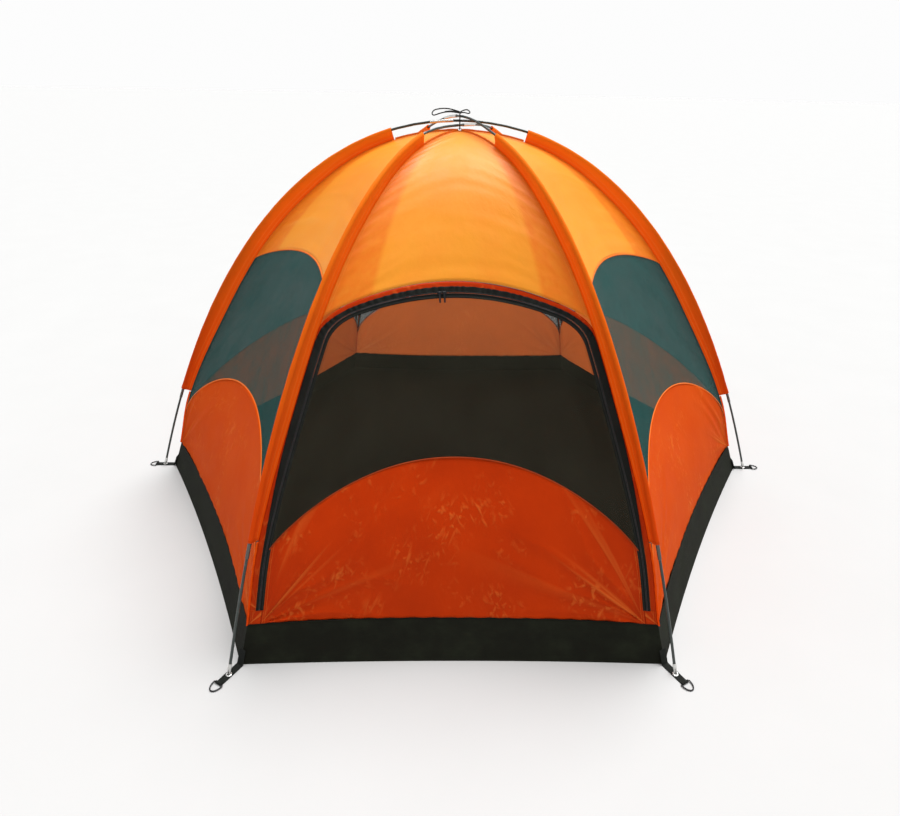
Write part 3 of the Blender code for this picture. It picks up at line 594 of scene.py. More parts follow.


# In each canopy cloth the edge colour paints shade near the seams and the paler thread colour also paints
# highlights along the creases; the gore's band of 0.115 is painted shade beside the sleeves.
GORE = canopy_cloth("gore_finish", (0.98, 0.410, 0.028), (0.97, 0.360, 0.022), (0.90, 0.205, 0.006),
                    (0.98, 0.47, 0.07), (0.98, 0.42, 0.05), 0.35, 0.40, 0.27, 0.05, 0.115)
WALL = canopy_cloth("wall_finish", (0.76, 0.098, 0.003), (0.72, 0.082, 0.002), (0.62, 0.062, 0.002),
                    (0.92, 0.30, 0.04), (0.92, 0.24, 0.04), 0.38, 0.60, 0.02, 0.04, folds_reach=0.34)
LOWER = canopy_cloth("lower_finish", (0.62, 0.045, 0.001), (0.55, 0.038, 0.001), (0.46, 0.028, 0.001),
                     (0.95, 0.25, 0.04), (0.85, 0.14, 0.01), 0.28, 0.50, 0.06, 0.05, folds_reach=0.62)
# Sleeve: its rise paints shade, deep red at the foot and paler towards the crown.
SLEEVE = canopy_cloth("sleeve_finish", (0.99, 0.280, 0.014), (0.80, 0.064, 0.003), (0.84, 0.105, 0.003),
                      (0.90, 0.36, 0.07), (0.98, 0.32, 0.02), 0.44, 0.46, 0.04, 0.016, rise=1.15)
# Rear walls: a paler copy of the wall cloth with a brighter glow and a larger share of it, painting light
# from behind onto the same cloth.
PAINTED_BACKLIT_WALL = canopy_cloth("painted_backlit_wall_finish", (0.78, 0.120, 0.008), (0.74, 0.100, 0.006), (0.64, 0.080, 0.005),
                         (0.92, 0.34, 0.08), (0.98, 0.62, 0.30), 0.52, 0.60, 0.02, 0.04, folds_reach=0.34)
PIPE = heavy_cloth("piping_finish", (0.80, 0.145, 0.008), (0.88, 0.22, 0.03), 0.0009, 0.5, 0.0)
DOOR_PIPE = heavy_cloth("door_piping_finish", (0.26, 0.026, 0.002), (0.38, 0.05, 0.005), 0.0009, 0.5, 0.0)
WINDOW_NET = net_cloth("window_net_finish", (0.004, 0.040, 0.036), (0.008, 0.062, 0.056), 0.84, 0.08)
DOOR_NET = net_cloth("door_net_finish", (0.036, 0.035, 0.023), (0.054, 0.052, 0.036), 0.36, 0.18)
TUB = heavy_cloth("tub_finish", (0.0048, 0.0046, 0.0024), (0.015, 0.018, 0.010), 0.0016, 0.80, 0.0)
TAPE = heavy_cloth("zip_tape_finish", (0.005, 0.006, 0.005), (0.016, 0.018, 0.015), 0.0012, 0.7, 0.0,
                   (0.04, 0.04, 0.036))
COIL = metal_finish("zip_coil_finish", (0.012, 0.012, 0.013), (0.07, 0.07, 0.07), 0.2, 0.4, 0.0)
STEEL = metal_finish("steel_finish", (0.66, 0.66, 0.64), (0.40, 0.39, 0.37), 0.35, 0.27, 1.0)
DULL_STEEL = metal_finish("dull_steel_finish", (0.12, 0.11, 0.10), (0.05, 0.045, 0.04), 0.35, 0.38, 1.0)
BLACK_METAL = metal_finish("black_metal_finish", (0.015, 0.015, 0.017), (0.11, 0.105, 0.10), 0.2, 0.42, 0.6)
WEBBING = webbing_finish()
ROD = rod_finish()
CORD = cord_finish()


# Pieces

def add_object(name, data):
    made = bpy.data.objects.new(name, data)
    bpy.context.scene.collection.objects.link(made)
    return made


def link_piece(name, data, finish, body, nodes=()):
    """New piece of the tent, riding on a body and standing for CAD nodes."""
    made = add_object(name, data)
    data.materials.append(finish)
    if body:
        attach(made, body)
    if nodes:
        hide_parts(*nodes)
    return made


def mesh_from(name, points, faces, places, sharp=50):
    """Smooth mesh with each point's place on its cloth stored beside it."""
    data = bpy.data.meshes.new(name)
    data.from_pydata([tuple(p) for p in points], [], faces)
    layer = data.attributes.new("cloth_place", "FLOAT_VECTOR", "POINT")
    layer.data.foreach_set("vector", [x for place in places for x in place])
    data.shade_smooth()
    data.set_sharp_from_angle(angle=math.radians(sharp))
    data.update()
    return data


def row_faces(rows, width, round_row=True, round_rows=False):
    """Faces between rows of points, with each row or the whole stack closed on itself if asked."""
    faces = []
    for row in range(rows if round_rows else rows - 1):
        below = row * width
        above = (row + 1) % rows * width
        for i in range(width if round_row else width - 1):
            after = (i + 1) % width
            faces.append((below + i, below + after, above + after, above + i))
    return faces


def end_caps(rows, width):
    """Faces that close the first and last of a stack of rings."""
    return [tuple(range(width))[::-1], tuple(range((rows - 1) * width, rows * width))]


def flatten(rows):
    return [item for row in rows for item in row]


def grid_mesh(name, grid, places, closed=False):
    """Mesh over rows of points, closing each row on itself if asked."""
    faces = row_faces(len(grid), len(grid[0]), closed)
    return mesh_from(name, flatten(grid), faces, flatten(places))


def mark_creases(data, places, crease):
    """Store how strongly each point's cloth is folded."""
    layer = data.attributes.new("cloth_crease", "FLOAT", "POINT")
    layer.data.foreach_set("value", [crease(*place) for line in places for place in line])


def thicken(piece, thickness=CLOTH, offset=0.0):
    solid = piece.modifiers.new("thickness", "SOLIDIFY")
    solid.thickness = thickness
    solid.offset = offset
    solid.use_even_offset = True


def grid_area(grid):
    total = 0.0
    for a, b in zip(grid, grid[1:]):
        for i in range(len(a) - 1):
            total += (a[i + 1] - a[i]).cross(b[i] - a[i]).length / 2
            total += (b[i] - b[i + 1]).cross(a[i + 1] - b[i + 1]).length / 2
    return total


def line_length(points):
    return sum((b - a).length for a, b in zip(points, points[1:]))


def displaced(grid, places, relief):
    """Rows moved along their surface's normal by relief(across, along, seam distance)."""
    moved = []
    last = len(grid) - 1
    for r, line in enumerate(grid):
        new_line = []
        for c, point in enumerate(line):
            up = grid[min(r + 1, last)][c] - grid[max(r - 1, 0)][c]
            side = line[min(c + 1, len(line) - 1)] - line[max(c - 1, 0)]
            normal = side.cross(up).normalized()
            new_line.append(point + normal * relief(*places[r][c]))
        moved.append(new_line)
    return moved


def declare_panel(grid):
    """Work out a cut panel's flat size, that of the smooth surface before it creased; the sizes are not used.
    """
    rows = max(line_length(line) for line in grid)
    middle = len(grid[0]) // 2
    columns = max(line_length([line[i] for line in grid]) for i in (0, middle, len(grid[0]) - 1))
    area = grid_area(grid)
    share = area / (rows * columns)
    if share > 1:
        rows *= share


# Walls and canopy

def make_panel(name, grid, places, relief, finish, body, nodes, crease=None, thick=True):
    """Cut panel of cloth or net, shaped by its relief."""
    data = grid_mesh(name, displaced(grid, places, relief), places)
    if crease:
        mark_creases(data, places, crease)
    piece = link_piece(name, data, finish, body, nodes)
    if thick:
        thicken(piece)
    declare_panel(grid)
    return piece


def panel_grid(side, columns, rows, bottom, top, half):
    """Rows of points between two heights, with each point's place on the cloth."""
    grid = []
    places = []
    lows = [seam_station(bottom(across)) for across in columns]
    highs = [APEX_STATION if top is None else seam_station(top(across)) for across in columns]
    heights = [0.0] * len(columns)
    for row in range(rows + 1):
        line = []
        spots = []
        for i, across in enumerate(columns):
            t = lows[i] + (highs[i] - lows[i]) * row / rows
            reach = half(t)
            point = side_point(side, across * reach, t)
            if row:
                heights[i] += (point - grid[-1][i]).length
            line.append(point)
            spots.append((across * reach, heights[i], (1 - abs(across)) * reach))
        grid.append(line)
        places.append(spots)
    return grid, places


def side_half(t):
    return seam_profile(t)[0] / 2 - SEAM_EDGE


def door_half(t):
    return seam_profile(t)[0] / 2 - DOOR_EDGE


def fan(inward, along, reach, count, seed):
    """Creases that spread from a panel's bottom corner and fade with distance."""
    distance = math.hypot(inward, along)
    angle = math.atan2(along, abs(inward) + 1e-6)
    wave = math.sin(count * angle + 3.0 * wander(3 * angle, distance * 3, seed))
    ridge = 1 - 2 * abs(wave) ** 0.6
    strength = 0.55 + 0.75 * wander(5 * angle, 0.0, seed + 11)
    return strength * ridge * ease(distance / 0.04) * max(0.0, 1 - distance / reach) ** 1.2


def fold_line(inward, along, reach, count, seed):
    """1 on the sharpest of a corner's creases, 0 between them."""
    return ease((fan(inward, along, reach, count, seed) - 0.16) / 0.34)


# Where the gore's creases lie, for its painted crease highlights.
def gore_crease(side):
    seed = 3.1 * side + 0.5

    def crease(across, along, distance):
        level = wander(across * 3.0, along * 30.0, seed + 7)
        return 0.5 * fold_line(distance, along, *GORE_FAN, seed) + 0.5 * ease((level - 0.35) / 0.3)
    return crease


def gore_relief(side):
    """Puckers along the seams, slack across the middle and gathers at the arch's ends."""
    seed = 3.1 * side + 0.5

    def relief(across, along, distance):
        wave = math.sin(along / 0.0085 + 2 * wander(along * 9, side, seed))
        pucker = 0.0013 * math.exp(-distance / 0.035) * ease(distance / 0.012) * wave
        slack = 0.0040 * wander(across * 2.2, along * 2.4, seed) * ease(distance / 0.1)
        level = 0.0015 * wander(across * 3.0, along * 30.0, seed + 7) * ease(distance / 0.06)
        gather = 0.0028 * fan(distance, along, *GORE_FAN, seed) * ease(distance / 0.01)
        return pucker + slack + level + gather
    return relief


def lower_relief(side, strength=1.0):
    """Broad folds from both bottom corners, gathers along the foot and slack between them."""
    seed = 5.7 * side + 2.0

    def relief(across, along, distance):
        corners = fan(distance, along, *LOWER_FAN, seed + math.copysign(3.0, across))
        hem = math.exp(-along / 0.02) * math.sin(across / 0.009 + 2 * wander(across * 8, 0, seed))
        slack = wander(across * 2.5, along * 3.0, seed + 4) * ease(distance / 0.1)
        return strength * ease(distance / 0.02) * (0.0050 * corners + 0.0008 * hem + 0.004 * slack)
    return relief


def net_relief(side):
    """Soft slack of a net between its seams."""
    seed = 9.3 * side + 1.0

    def relief(across, along, distance):
        return 0.004 * wander(across * 4, along * 4, seed) * ease(distance / 0.06) * ease(along / 0.05)
    return relief


def make_walls():
    """Gore, net and lower panel of each side; the front's net and lower panel are the door's."""
    columns = spread(CLOTH_COLUMNS, COLUMN_DRAW)
    net_columns = spread(NET_COLUMNS, COLUMN_DRAW)
    for side, name in enumerate(SIDES):
        grid, places = panel_grid(side, columns, GORE_ROWS, upper_arch, None, side_half)
        make_panel("canopy_cloth_" + name, grid, places, gore_relief(side), GORE, "tent",
                   ["canopy_gore_" + name], gore_crease(side))
        if side == FRONT:
            continue
        grid, places = panel_grid(side, net_columns, NET_ROWS, lower_arch, upper_arch, side_half)
        make_panel("window_net_" + name, grid, places, net_relief(side), WINDOW_NET, "tent",
                   ["window_mesh_" + name], thick=False)
        grid, places = panel_grid(side, columns, WALL_ROWS, lambda across: TUB_HEIGHT, lower_arch, side_half)
        # The rear walls take the copy that paints light from behind.
        finish = PAINTED_BACKLIT_WALL if name.startswith("rear") else WALL
        make_panel("wall_cloth_" + name, grid, places, lower_relief(side), finish, "tent",
                   ["lower_panel_" + name])


def oval_sweep(name, path, axes, half_width, half_height, count=10, closed=False):
    """Mesh of an oval cord along a path; axes gives each point's (outward, across)."""
    rings = []
    places = []
    travelled = 0.0
    for i, (point, (outward, across)) in enumerate(zip(path, axes)):
        if i:
            travelled += (point - path[i - 1]).length
        ring = []
        spots = []
        for angle in turns(count):
            ring.append(point + across * half_width * math.cos(angle)
                        + outward * half_height * math.sin(angle))
            spots.append((half_width * angle, travelled, 0.02))
        rings.append(ring)
        places.append(spots)
    faces = row_faces(len(rings), count, round_rows=closed)
    if not closed:
        faces += end_caps(len(rings), count)
    return mesh_from(name, flatten(rings), faces, flatten(places))


def path_axes(path, normals, closed=False):
    """Outward normals paired with the direction across the path at each point."""
    axes = []
    last = len(path) - 1
    for i, normal in enumerate(normals):
        if closed:
            tangent = path[(i + 1) % len(path)] - path[i - 1]
        else:
            tangent = path[min(i + 1, last)] - path[max(i - 1, 0)]
        axes.append((normal, normal.cross(tangent).normalized()))
    return axes


def make_piping():
    """Piping along both arches of each side, and along the door's lower arch."""
    for side, name in enumerate(SIDES):
        for level, arch in (("lower", lower_arch), ("upper", upper_arch)):
            if side == FRONT and level == "upper":
                continue
            limit = DOOR_SHARE if side == FRONT else PIPING_SHARE
            path = []
            normals = []
            for across in spread(90, 0.7):
                t = seam_station(arch(across * limit))
                offset = across * (door_half(t) if side == FRONT else side_half(t))
                normal = cloth_normal(side, offset, t)
                path.append(side_point(side, offset, t) + normal * PIPING_LIFT)
                normals.append(normal)
            data = oval_sweep(f"piping_{level}_{name}", path, path_axes(path, normals), *PIPING)
            finish, body = (DOOR_PIPE, "door") if side == FRONT else (PIPE, "tent")
            link_piece(data.name, data, finish, body)


# Sleeves and seams

def sleeve_section(corner, t, seed, travelled, hem):
    """Outline of the pocket and its web, with each point's place on the cloth."""
    outward, sideways = pole_axes(corner, t)
    centre = pole_point(corner, t)
    width = read_table(FIN_WIDTHS, pole_profile(t)[1])
    slack = 1 + 0.10 * wander(travelled * 22, seed, 0.3) + 0.12 * hem
    sway = 0.0016 * wander(travelled * 14, seed, 4.0) + 0.0007 * math.sin(travelled / 0.006)
    points = []
    spots = []
    for i in range(17):
        angle = math.radians(-112 + 14 * i)
        radius = SLEEVE_R * slack * (1 + 0.05 * math.cos(3 * angle))
        points.append(centre + outward * radius * math.cos(angle) + sideways * radius * math.sin(angle))
        spots.append((SLEEVE_R * angle, travelled, width))
    depths = (0.016, 0.022, POCKET_DEPTH, 0.6 * POCKET_DEPTH + 0.4 * width, width + 0.0030)
    web = []
    for depth in depths:
        share = min(1.0, (depth - 0.008) / (POCKET_DEPTH - 0.008))
        half = 0.0034 * (1 - ease(share)) + 0.0009
        bend = sway * math.sin(math.pi * min(1.0, depth / width))
        web.append((depth, half, bend))
    for depth, half, bend in web:
        points.append(centre - outward * depth + sideways * (half + bend))
        spots.append((0.03 + depth, travelled, max(0.0, width - depth) * 0.5))
    for depth, half, bend in reversed(web):
        points.append(centre - outward * depth - sideways * (half - bend))
        spots.append((-0.03 - depth, travelled, max(0.0, width - depth) * 0.5))
    return points, spots


def channel_section(corner, t, travelled, count):
    angles = turns(count, math.radians(-112))
    return pole_ring(corner, t, CHANNEL_R, angles), [(CHANNEL_R * a, travelled, 0.03) for a in angles]


def make_sleeves():
    low = pole_station(SLEEVE_FOOT)
    high = pole_station_at_radius(SLEEVE_CROWN)
    count = SLEEVE_ROWS
    for corner, name in enumerate(CORNERS):
        outer = []
        outer_spots = []
        inner = []
        inner_spots = []
        travelled = 0.0
        for i in range(count + 1):
            t = low + (high - low) * i / count
            if i:
                travelled += (pole_point(corner, t) - pole_point(corner, t - (high - low) / count)).length
            end = min(i, count - i) * 0.012
            hem = math.exp(-(end / 0.014) ** 2)
            ring, spots = sleeve_section(corner, t, 2.3 * corner, travelled, hem)
            outer.append(ring)
            outer_spots.append(spots)
            ring, spots = channel_section(corner, t, travelled, len(ring))
            inner.append(ring)
            inner_spots.append(spots)
        rings = outer + inner[::-1]
        places = outer_spots + inner_spots[::-1]
        rings.append(rings[0])
        places.append(places[0])
        data = grid_mesh("pole_sleeve_cloth_" + name, rings, places, closed=True)
        weld(data)
        piece = link_piece(data.name, data, SLEEVE, "tent", ["pole_sleeve_" + name])


def weld(data):
    """Join points that lie on each other and turn every face outwards."""
    bm = bmesh.new()
    bm.from_mesh(data)
    bmesh.ops.remove_doubles(bm, verts=bm.verts, dist=0.00002)
    bmesh.ops.recalc_face_normals(bm, faces=bm.faces)
    bm.to_mesh(data)
    bm.free()


def make_corner_seams():
    """Raised seam where two sides meet, below and above each sleeve."""
    sleeve_low = pole_station(SLEEVE_FOOT - 0.004)
    sleeve_high = pole_station_at_radius(SLEEVE_CROWN - 0.004)
    for corner, name in enumerate(CORNERS):
        direction = corner_direction(corner)
        sideways = Vector((0, 0, 1)).cross(direction)
        for part, first, last in (("foot", RIM_STATION, sleeve_low), ("crown", sleeve_high, APEX_STATION)):
            path = []
            normals = []
            for i in range(31):
                t = first + (last - first) * i / 30
                radius, height = seam_profile(t)
                normal = profile_normal(t)
                outward = direction * normal.x + Vector((0, 0, normal.y))
                sway = 0.0006 * math.sin(i * 1.7) * sideways
                path.append(direction * radius + Vector((0, 0, height)) + outward * SEAM_LIFT + sway)
                normals.append(outward)
            data = oval_sweep(f"corner_seam_{part}_{name}", path, path_axes(path, normals), *SEAM_SIZE)
            finish = SLEEVE if part == "foot" else PIPE
            link_piece(data.name, data, finish, "tent")


# Bathtub floor

def tub_ring(height_share, floor_share):
    """Points round the tub: on the floor while height_share is 0, then up the wall to the rim."""
    points = []
    for side in range(6):
        outward, along = side_axes(side)
        bow = TUB_BOW_FRONT if side == FRONT else TUB_BOW
        for i in range(30):
            across = -1 + i / 15
            distance = TUB_FOOT_RADIUS * COS30 - bow * (1 - across * across)
            foot = outward * distance + along * (across * TUB_FOOT_RADIUS / 2)
            rim = side_point(side, across * seam_profile(RIM_STATION)[0] / 2, RIM_STATION)
            spot = foot * floor_share
            points.append(spot.lerp(rim, height_share) if height_share else spot)
    return points


def make_tub():
    """Tray of coated cloth: a creased floor whose edge turns up into a low wall."""
    shares = [0.004 + 0.996 * (i / 26) ** 0.8 for i in range(27)]
    levels = [0.03, 0.08, 0.16, 0.26, 0.38, 0.5, 0.62, 0.74, 0.84, 0.92, 0.97, 1.0]
    flat = [tub_ring(0.0, share) for share in shares] + [tub_ring(level, 1.0) for level in levels]
    grid = []
    places = []
    around = 0.0
    steps = [0.0]
    for a, b in zip(flat[-1], flat[-1][1:]):
        around += (b - a).length
        steps.append(around)
    for row, ring in enumerate(flat):
        line = []
        spots = []
        wall = row - len(shares) + 1
        for i, point in enumerate(ring):
            if wall <= 0:
                edge = 1 - shares[row]
                bump = 0.003 * (0.5 + 0.5 * wander(point.x * 3, point.y * 3, 1.0)) * ease(edge / 0.06)
                lifted = point + Vector((0, 0, 0.0004 + bump))
                spots.append((point.x, point.y, 0.5))
            else:
                level = levels[wall - 1]
                outward = Vector((point.x, point.y, 0)).normalized()
                crease = wander(steps[i] * 9, level * 1.4, 2.0) + 0.5 * wander(steps[i] * 26, level * 3, 5.0)
                lifted = point + outward * 0.0028 * crease * math.sin(math.pi * level)
                spots.append((steps[i], 3 + level * TUB_HEIGHT, (1 - level) * TUB_HEIGHT))
            line.append(lifted)
        grid.append(line)
        places.append(spots)
    data = grid_mesh("tub_cloth", grid, places, closed=True)
    cap = tuple(range(len(grid[0])))
    bm = bmesh.new()
    bm.from_mesh(data)
    bm.verts.ensure_lookup_table()
    bm.faces.new([bm.verts[i] for i in cap])
    bmesh.ops.recalc_face_normals(bm, faces=bm.faces)
    bm.to_mesh(data)
    bm.free()
    piece = link_piece("tub_cloth", data, TUB, "tent", ["bathtub_floor"])
    thicken(piece, TUB_CLOTH)
    closed_grid = [line + [line[0]] for line in flat]
    area = grid_area(closed_grid)
    rim = flat[-1]
    normals = [Vector((p.x, p.y, 0)).normalized() for p in rim]
    data = oval_sweep("rim_welt", rim, path_axes(rim, normals, True), *RIM_WELT, closed=True)
    link_piece("rim_welt", data, TUB, "tent")


# Door and zip

def door_line(inset, count=1):
    """(offset, station) points along the zip, at an inset from the seams and the upper arch."""
    half_width = seam_profile(seam_station(UPPER_SPRING))[0] / 2
    side_top = UPPER_SPRING - inset - 0.5 * ZIP_CORNER
    arch_end = 1 - (inset + ZIP_CORNER) / half_width
    left = []
    steps = 5 * count
    for i in range(steps + 1):
        t = seam_station(ZIP_FOOT + (side_top - ZIP_FOOT) * i / steps)
        left.append((-(seam_profile(t)[0] / 2 - inset), t))
    t = seam_station(upper_arch(1 - inset / half_width) - ZIP_DROP * inset)
    corner = Vector((-(seam_profile(t)[0] / 2 - inset), t))
    t = seam_station(upper_arch(arch_end) - ZIP_DROP * inset)
    start = Vector(left[-1])
    finish = Vector((-arch_end * seam_profile(t)[0] / 2, t))
    for i in range(1, 4 * count):
        p = i / (4 * count)
        left.append(tuple((1 - p) ** 2 * start + 2 * p * (1 - p) * corner + p * p * finish))
    arch = []
    steps = 8 * count
    for i in range(steps + 1):
        across = arch_end * (-1 + 2 * i / steps)
        t = seam_station(upper_arch(across) - ZIP_DROP * inset)
        arch.append((across * seam_profile(t)[0] / 2, t))
    right = [(-offset, t) for offset, t in reversed(left)]
    return left + arch + right


def door_top(across):
    """Height of the door cloth's upper edge, with rounded corners."""
    reach = seam_profile(seam_station(UPPER_SPRING))[0] / 2
    inner = reach - DOOR_EDGE
    offset = abs(across) * inner
    height = upper_arch(offset / reach) - DOOR_DROP * DOOR_EDGE
    past = max(0.0, offset - (inner - ZIP_CORNER)) / ZIP_CORNER
    return height - CORNER_DROP * ZIP_CORNER * (1 - math.sqrt(max(0.0, 1 - past * past)))


def zip_strip(name, edges, finish, body, lift, relief, nodes=(), density=18):
    """Strip along the zip between two insets. A third entry says where it starts at each height."""
    outer, inner, starts = edges
    lines = [door_line(inset, density) for inset in (outer, inner)]
    rows = 6
    grid = []
    places = []
    travelled = [0.0]
    points = [side_point(FRONT, *place) for place in lines[1]]
    for a, b in zip(points, points[1:]):
        travelled.append(travelled[-1] + (b - a).length)
    for row in range(rows + 1):
        share = row / rows
        line = []
        spots = []
        for i, (a, b) in enumerate(zip(*lines)):
            start = share
            if starts:
                start = starts(side_point(FRONT, *a).z) * (1 - share) + share
            offset = a[0] + (b[0] - a[0]) * start
            t = a[1] + (b[1] - a[1]) * start
            normal = cloth_normal(FRONT, offset, t)
            height = side_point(FRONT, offset, t).z
            line.append(side_point(FRONT, offset, t) + normal * (lift + relief(travelled[i], share, height)))
            width = abs(inner - outer)
            spots.append((share * width, travelled[i], (1 - share) * width))
        grid.append(line)
        places.append(spots)
    data = grid_mesh(name, grid, places)
    piece = link_piece(name, data, finish, body, nodes)
    thicken(piece)
    width = grid_area(grid) / travelled[-1]
    return piece


def gathers(travelled, share, height):
    """Ruffles of the zip's tape: strong over the arch, slight down the straight sides."""
    strength = 0.0008 + 0.0030 * ease((height - 0.80) / 0.10)
    wave = math.sin(travelled / 0.0036 + 4.0 * wander(travelled * 24, 0.0, 1.0))
    return strength * (1 - share) * (0.55 * wave + 0.6 + 0.4 * wander(travelled * 60, share * 2, 3.0))


def flat_relief(travelled, share, height):
    return 0.0006 * wander(travelled * 22, share * 2, 8.0)


def tape_edge(height):
    """How far from the seam's side the dark tape begins, as a share of the strip's width."""
    return 0.62 * (1 - ease((height - 0.30) / 0.35)) + 0.42 * ease((height - 0.84) / 0.08)


def coil_mesh(name, inset):
    """One side of the zip's nylon coil: a cord that swells at each turn."""
    lines = door_line(inset, 90)
    path = [side_point(FRONT, *place) for place in lines]
    normals = [cloth_normal(FRONT, *place) for place in lines]
    path = [p + n * COIL_LIFT for p, n in zip(path, normals)]
    data = oval_sweep(name, path, path_axes(path, normals), COIL_WIDTH, COIL_R, 6)
    travelled = 0.0
    for row in range(len(path)):
        if row:
            travelled += (path[row] - path[row - 1]).length
        swell = 1 + 0.35 * math.sin(2 * math.pi * travelled / COIL_PITCH)
        for k in range(6):
            vertex = data.vertices[row * 6 + k]
            vertex.co = path[row] + (vertex.co - path[row]) * swell
    return data


def make_door():
    columns = spread(DOOR_COLUMNS, COLUMN_DRAW)
    grid, places = panel_grid(FRONT, columns, DOOR_ROWS, lambda across: TUB_HEIGHT + 0.002,
                              lambda across: lower_arch(across * DOOR_SHARE), door_half)
    data = grid_mesh("door_cloth", displaced(grid, places, lower_relief(FRONT, DOOR_SLACK)), places)
    lower = link_piece("door_cloth", data, LOWER, None, ["door_lower_panel"])
    thicken(lower)
    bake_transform(lower)
    declare_panel(grid)
    grid, places = panel_grid(FRONT, spread(NET_COLUMNS, COLUMN_DRAW), NET_ROWS,
                              lambda across: lower_arch(across * DOOR_SHARE), door_top, door_half)
    make_panel("door_net", grid, places, net_relief(FRONT), DOOR_NET, "door",
               ["door_mesh"], thick=False)
    zip_strip("door_zip_band", (ZIP_LINE + ZIP_GAP, DOOR_EDGE + 0.004, None), TAPE, "door",
              0.0009, flat_relief, ["door_zip_tape"])
    zip_strip("door_frame_cloth", (SEAM_EDGE, ZIP_LINE - ZIP_GAP, None), LOWER, "tent",
              0.0, flat_relief, ["frame_zip_strip"])
    zip_strip("frame_zip_band", (0.0032, ZIP_LINE - ZIP_GAP, tape_edge), TAPE, "tent",
              FRAME_TAPE_LIFT, gathers, (), 60)
    for name, inset, body in (("zip_coil_frame", ZIP_LINE - 0.0014, "tent"),
                              ("zip_coil_door", ZIP_LINE + 0.0014, "door")):
        link_piece(name, coil_mesh(name, inset), COIL, body)
    for name, turn in (("left", -1), ("right", 1)):
        make_door_corner(name, turn)


def make_door_corner(name, turn):
    """Cloth outside the zip's foot, down to the tub's rim."""
    grid = []
    places = []
    for row in range(9):
        t = seam_station(TUB_HEIGHT + 0.001 + (ZIP_FOOT - TUB_HEIGHT) * row / 8)
        half = seam_profile(t)[0] / 2
        insets = [SEAM_EDGE + (DOOR_EDGE - 0.0006 - SEAM_EDGE) * i / 6 for i in range(7)]
        line = [side_point(FRONT, turn * (half - inset), t) for inset in insets]
        grid.append(line[::-turn])
        places.append([(inset, row * 0.005, inset) for inset in insets][::-turn])
    data = grid_mesh("door_corner_cloth_" + name, grid, places)
    piece = link_piece(data.name, data, LOWER, "tent")
    thicken(piece)
    declare_panel(grid)


# Poles and hardware

def pole_sweep(name, corner, profile, finish, nodes=(), count=20):
    """Turned piece along a pole, from (height, radius) pairs."""
    rings = [pole_ring(corner, pole_station(height), radius, turns(count)) for height, radius in profile]
    points = flatten(rings)
    faces = row_faces(len(rings), count) + end_caps(len(rings), count)
    data = mesh_from(name, points, faces, [NO_PLACE] * len(points), METAL_CORNER)
    return link_piece(name, data, finish, "tent", nodes)


def make_legs():
    """Pole feet: rod, glued ferrule with a rolled lip, and a turned tip that ends in a pin."""
    lip = FERRULE_LIP
    for corner, name in enumerate(CORNERS):
        rod = [(SHOULDER + (FERRULE_FOOT - SHOULDER) * i / 12, ROD_R) for i in range(13)]
        pole_sweep("leg_rod_" + name, corner, rod, ROD, ["pole_leg_" + name])
        ferrule = [(FERRULE_FOOT - 0.002, ROD_R + 0.0002), (FERRULE_FOOT - 0.0012, FERRULE_R - 0.0004),
                   (FERRULE_FOOT, FERRULE_R), (FERRULE_FOOT + 0.020, FERRULE_R),
                   (FERRULE_FOOT + 0.0215, FERRULE_R - lip), (FERRULE_FOOT + 0.0235, FERRULE_R - lip),
                   (FERRULE_FOOT + 0.025, FERRULE_R), (FERRULE_TOP - 0.003, FERRULE_R),
                   (FERRULE_TOP - 0.0022, FERRULE_R + lip), (FERRULE_TOP - 0.0006, FERRULE_R + lip),
                   (FERRULE_TOP, FERRULE_R), (FERRULE_TOP, ROD_R)]
        pole_sweep("leg_ferrule_" + name, corner, ferrule, DULL_STEEL)
        tip = [(PIN_FOOT, PIN_R - 0.0006), (PIN_FOOT + 0.0006, PIN_R), (SHOULDER - 0.0004, PIN_R),
               (SHOULDER, ROD_R + 0.0005), (SHOULDER + 0.001, ROD_R + 0.0009),
               (SHOULDER + 0.026, ROD_R + 0.0009), (SHOULDER + 0.0275, ROD_R + 0.0003)]
        pole_sweep("leg_tip_" + name, corner, tip, STEEL)


def make_eyelets():
    """Rolled metal eyelet over the hole that takes each pole's pin."""
    section = [(0.0043, 0.0002), (0.0043, 0.0028), (0.0050, 0.0036), (0.0060, 0.0038), (0.0072, 0.0036),
               (0.0083, 0.0031), (0.0086, 0.0024), (0.0086, 0.0002)]
    count = 32
    for corner, name in enumerate(CORNERS):
        centre = corner_direction(corner) * GROMMET_RADIUS
        points = []
        for angle in turns(count):
            spoke = Vector((math.cos(angle), math.sin(angle), 0))
            points += [centre + spoke * radius + Vector((0, 0, height)) for radius, height in section]
        faces = row_faces(count, len(section), round_rows=True)
        data = mesh_from("eyelet_" + name, points, faces, [NO_PLACE] * len(points), METAL_CORNER)
        weld(data)
        link_piece("eyelet_" + name, data, STEEL, "tent")


def bow_loop(reach, end_radius, tilt, rise, droop, lean, turn):
    """Route of a bow's loop: out from the knot, round its wide end and back."""
    centre = reach - end_radius
    tangent = math.acos(end_radius / centre)
    touch = (centre - end_radius * math.cos(tangent), end_radius * math.sin(tangent))
    strand = []
    for i in range(5):
        share = i / 5
        strand.append((BOW_START[0] + (touch[0] - BOW_START[0]) * share,
                       BOW_START[1] + (touch[1] - BOW_START[1]) * share))
    flat = strand[:]
    for i in range(11):
        angle = tangent + (2 * math.pi - 2 * tangent) * i / 10
        flat.append((centre - end_radius * math.cos(angle), end_radius * math.sin(angle)))
    flat += [(out, -aside) for out, aside in reversed(strand)]
    route = []
    for out, aside in flat:
        lift = rise * math.sin(math.pi * out / (1.05 * reach)) - droop * out
        route.append((turn * out, aside * math.cos(tilt) - lean * out,
                      KNOT_HEIGHT + lift + aside * math.sin(tilt)))
    return route


